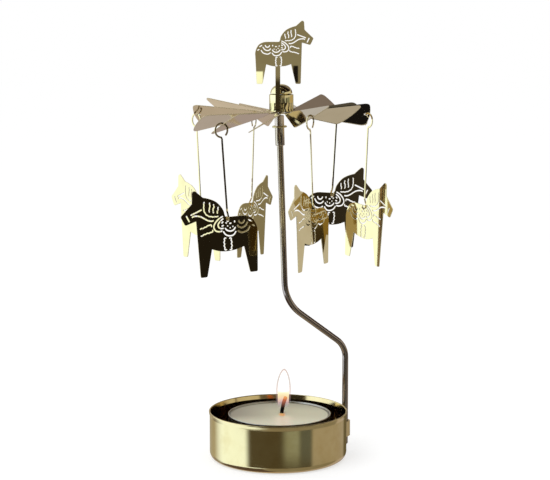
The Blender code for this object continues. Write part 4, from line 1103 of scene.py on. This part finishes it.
studio = {
    "plain": (0.80, 0.80, 0.80),  # what lights the matt pieces
    "room": (0.45, 0.43, 0.40),  # what the metal mirrors between the cards
    # what the metal mirrors: low and high bearing (0 behind, 90 left, -90 right, 180 the viewer),
    # low and high elevation, softness of each, colour; the later lies over the earlier
    "cards": (
        # below: the blades' undersides on the near side, darker for the rod's bend and the cup
        (-70, 30, -95, -19, 4, 4, (0.51, 0.46, 0.46)),
        (2, 30, -95, -45, 4, 6, (0.57, 0.50, 0.44)),
        (2, 30, -45, -30, 4, 5, (0.68, 0.61, 0.54)),
        (2, 30, -30, -19, 4, 3, (0.50, 0.42, 0.37)),
        (-30, 2, -31, -19, 4, 3, (0.43, 0.36, 0.345)),
        (30, 400, -95, -19, 8, 5, (0.28, 0.26, 0.22)),
        (30, 150, -95, -36, 8, 8, (0.11, 0.08, 0.07)),
        (-400, -60, -95, -19, 8, 5, (0.28, 0.26, 0.22)),
        # all round
        (-5, 60, -19, 24, 10, 4, (0.50, 0.46, 0.34)),
        (-60, -12, 1, 28, 6, 4, (0.12, 0.08, 0.06)),
        (-62, 50, 60, 92, 8, 6, (0.03, 0.02, 0.018)),
        (48, 121, -12, 75, 12, 4, (1.20, 1.37, 1.55)),
        (121, 400, -12, 92, 10, 4, (0.10, 0.085, 0.06)),
        (-400, -60, -12, 92, 8, 4, (0.12, 0.105, 0.09)),
        (-200, -58, 19, 92, 10, 4, (0.014, 0.008, 0.007)),
        (-200, -148, 12, 92, 6, 2, (0.025, 0.018, 0.015)),
        (150, 200, 12, 92, 6, 2, (0.025, 0.018, 0.015)),
        # the cup's wall
        (-400, 400, -17, -12, 1, 1, (0.46, 0.43, 0.33)),
        (58, 150, -34, -12, 34, 2, (1.18, 1.42, 1.72)),
        (127, 400, -26, -12, 13, 2, (0.090, 0.077, 0.050)),
        (-400, -121, -26, -12, 8, 2, (0.090, 0.080, 0.055)),
        (-170, -142, -19, -12, 16, 2, (0.33, 0.37, 0.34)),
        (-142, -121, -19, -12, 10, 2, (0.13, 0.145, 0.14)),
        (-120, -36, -19, -12, 12, 2, (0.42, 0.385, 0.345)),
        (-36, 4, -19, -12, 12, 2, (0.14, 0.115, 0.06)),
        # the hanging figures and the rod
        (20, 57, -12, -3.8, 4, 0.6, (0.12, 0.10, 0.07)),
        (57, 104, -12, -3.8, 4, 0.6, (1.22, 1.42, 1.45)),
        (73.2, 77, -12, -3.8, 0.8, 0.6, (0.04, 0.035, 0.03)),
        (104, 400, -12, -3.8, 8, 0.6, (0.050, 0.040, 0.028)),
        (112, 135, -7.3, -5.4, 2, 0.6, (0.40, 0.36, 0.26)),
        (166, 184, -9.5, -5.5, 6, 1, (0.36, 0.32, 0.20)),
        (-400, -119.5, -12, -3.8, 1, 0.6, (0.016, 0.013, 0.010)),
        (-121.6, -118.5, -9, -5, 0.4, 0.6, (0.70, 0.66, 0.55)),
        (-184, -172, -9.5, -5.5, 6, 1, (0.30, 0.26, 0.17)),
        (-120, -66, -12, -3.8, 12, 0.6, (0.17, 0.15, 0.14)),
        (-66, -57.6, -12, -3.8, 1, 0.6, (0.58, 0.56, 0.54)),
        (-57.6, -44, -12, -3.8, 1, 0.6, (0.26, 0.235, 0.17)),
        # the cap
        (121, 400, -3.6, 1, 8, 0.3, (0.035, 0.030, 0.025)),
        (-400, -130, -3.6, 1, 3, 0.3, (0.035, 0.028, 0.024)),
        (-171, -161, -3.6, 3, 3, 0.4, (0.14, 0.14, 0.11)),
        (-150, -135, -3.6, 3, 3, 0.4, (0.42, 0.44, 0.40)),
        (-133, -122, -3.6, 3, 3, 0.4, (0.085, 0.080, 0.060)),
        (-117.5, -110, -3.6, 3, 2, 0.4, (0.55, 0.60, 0.48)),
        (-110, -99, -3.6, 3, 3, 0.4, (0.08, 0.085, 0.045)),
        (-99, -87, -3.6, 3, 3, 0.4, (0.50, 0.48, 0.36)),
        (-87, -46, -3.6, 3, 6, 0.4, (0.50, 0.385, 0.22)),
        (-46, -5, -3.6, 3, 6, 0.4, (0.40, 0.36, 0.26)),
        # the top figure and its stalk
        (176.5, 183, -3.6, 3, 0.5, 0.4, (0.265, 0.25, 0.20)),
        (-183, -176.5, -3.6, 3, 0.5, 0.4, (0.265, 0.25, 0.20)),
        (-181, -179.55, -3.8, -2.42, 0.05, 0.3, (0.040, 0.033, 0.022)),
        (179.75, 181, -3.8, -2.42, 0.05, 0.3, (0.040, 0.033, 0.022)),
        (179.27, 179.58, -2.64, -2.16, 0.04, 0.06, (1.20, 1.36, 1.30)),
        (-179.37, -179.20, -2.54, -1.96, 0.03, 0.04, (0.012, 0.010, 0.010)),
        # the cup's flared lip
        (-148, -58, 2.5, 19, 6, 2, (0.66, 0.63, 0.55)),
        (-190, -148, 3, 9, 6, 3, (0.30, 0.27, 0.20)),
        (-172, -152, 21, 28, 6, 1.5, (1.00, 1.15, 1.40)),
        (-190, -140, 15.5, 19.6, 4, 1, (0.01, 0.009, 0.008)),
        (-138, -22, 15.5, 20.5, 4, 1, (0.68, 0.64, 0.57)),
        (121, 190, 15, 20.5, 4, 1, (0.02, 0.018, 0.016)),
        (136, 176, 2.5, 24, 4, 3, (0.035, 0.030, 0.022)),
        (46, 130, -2, 24, 6, 3, (1.25, 1.45, 1.75)),
        # the blades' upper sides
        (-12, 40, 8, 28, 6, 6, (0.56, 0.545, 0.54)),
        (-12, 40, 28, 48, 6, 6, (0.50, 0.46, 0.40)),
        (-60, -12, 28, 50, 5, 5, (0.24, 0.20, 0.19)),
        (-60, -12, 49, 60, 3, 3, (0.095, 0.088, 0.074)),
        (-12, 45, 50, 72, 4, 4, (0.010, 0.009, 0.009))),
    "lampPower": 1.0, "lampSize": 0.35, "lampPlace": (-0.25, -0.25, 0.55), "lampAim": (0, 0, 0.06),
    "floorGrey": (0.50, 0.50, 0.50), "floorLift": 0.60, "floorReach": 3.0}


def makeWorld():
    # camera rays see white, mirror rays see the cards round the set, all others a plain light
    world = bpy.data.worlds.new("studio")
    bpy.context.scene.world = world
    world.use_nodes = True
    world.cycles.sampling_method = "NONE"
    graph = Graph(world.node_tree)
    x, y, z = graph.axes(graph.spot("Generated"))
    bearing = graph.maths("ARCTAN2", x * -1.0, y) * (180 / math.pi)
    height = graph.maths("ARCSINE", z) * (180 / math.pi)
    colour = studio["room"]
    for low, high, under, over, softAside, softUp, card in studio["cards"]:
        within = 1.0
        for value, start, end, soft in ((bearing, low, high, softAside), (height, under, over, softUp)):
            up = graph.ramp(value, start - soft / 2, start + soft / 2)
            within = up * (1 - graph.ramp(value, end - soft / 2, end + soft / 2)) * within
        colour = graph.mix(colour, card, within)
    rays = graph.node("ShaderNodeLightPath").socket.node.outputs
    colour = graph.mix(studio["plain"], colour, Value(graph, rays["Is Glossy Ray"]))
    colour = graph.mix(colour, (1.0, 1.0, 1.0), Value(graph, rays["Is Camera Ray"]))
    light = graph.node("ShaderNodeBackground", {}, {"Color": colour, "Strength": 1.0})
    graph.node("ShaderNodeOutputWorld", {}, {"Surface": light})


def makeFloor():
    # pale floor: white under the camera but for the object's soft shadow
    mesh = bpy.data.meshes.new("floor")
    reach = studio["floorReach"]
    corners = [(-reach, -reach, 0), (reach, -reach, 0), (reach, reach, 0), (-reach, reach, 0)]
    mesh.from_pydata(corners, [], [(0, 1, 2, 3)])
    floor = inScene("floor", mesh)
    made, graph = material("pale_floor")
    rays = graph.node("ShaderNodeLightPath").socket.node.outputs
    diffuse = graph.node("ShaderNodeBsdfDiffuse", {}, {"Color": studio["floorGrey"]})
    strength = Value(graph, rays["Is Camera Ray"]) * studio["floorLift"]
    lift = graph.node("ShaderNodeEmission", {}, {"Color": (1.0, 1.0, 1.0), "Strength": strength})
    both = graph.node("ShaderNodeAddShader", {}, {0: diffuse, 1: lift})
    graph.node("ShaderNodeOutputMaterial", {}, {"Surface": both})
    mesh.materials.append(made)
    floor.visible_glossy = False


def makeLamp():
    light = bpy.data.lights.new("softbox", "AREA")
    light.energy = studio["lampPower"]
    light.size = studio["lampSize"]
    lamp = inScene("softbox", light)
    lamp.location = studio["lampPlace"]
    aim = Vector(studio["lampAim"]) - lamp.location
    lamp.rotation_euler = aim.to_track_quat("-Z", "Y").to_euler()
    lamp.visible_glossy = False


# the focal length is in pixels of the photograph's width
view = {"place": (-0.00115, -0.600, 0.16613), "down": 8, "focalPixels": 1647, "widthPixels": 550,
        "sensor": 36, "near": 0.01}


def makeCamera():
    data = bpy.data.cameras.new("camera")
    data.sensor_width = view["sensor"]
    data.lens = view["focalPixels"] / view["widthPixels"] * view["sensor"]
    data.clip_start = view["near"]
    camera = inScene("camera", data)
    camera.location = view["place"]
    camera.rotation_euler = (math.radians(90 - view["down"]), 0, 0)
    bpy.context.scene.camera = camera


print("studio")
makeWorld()
makeFloor()
makeLamp()
makeCamera()
bpy.context.scene.view_settings.view_transform = "Standard"

print("done")
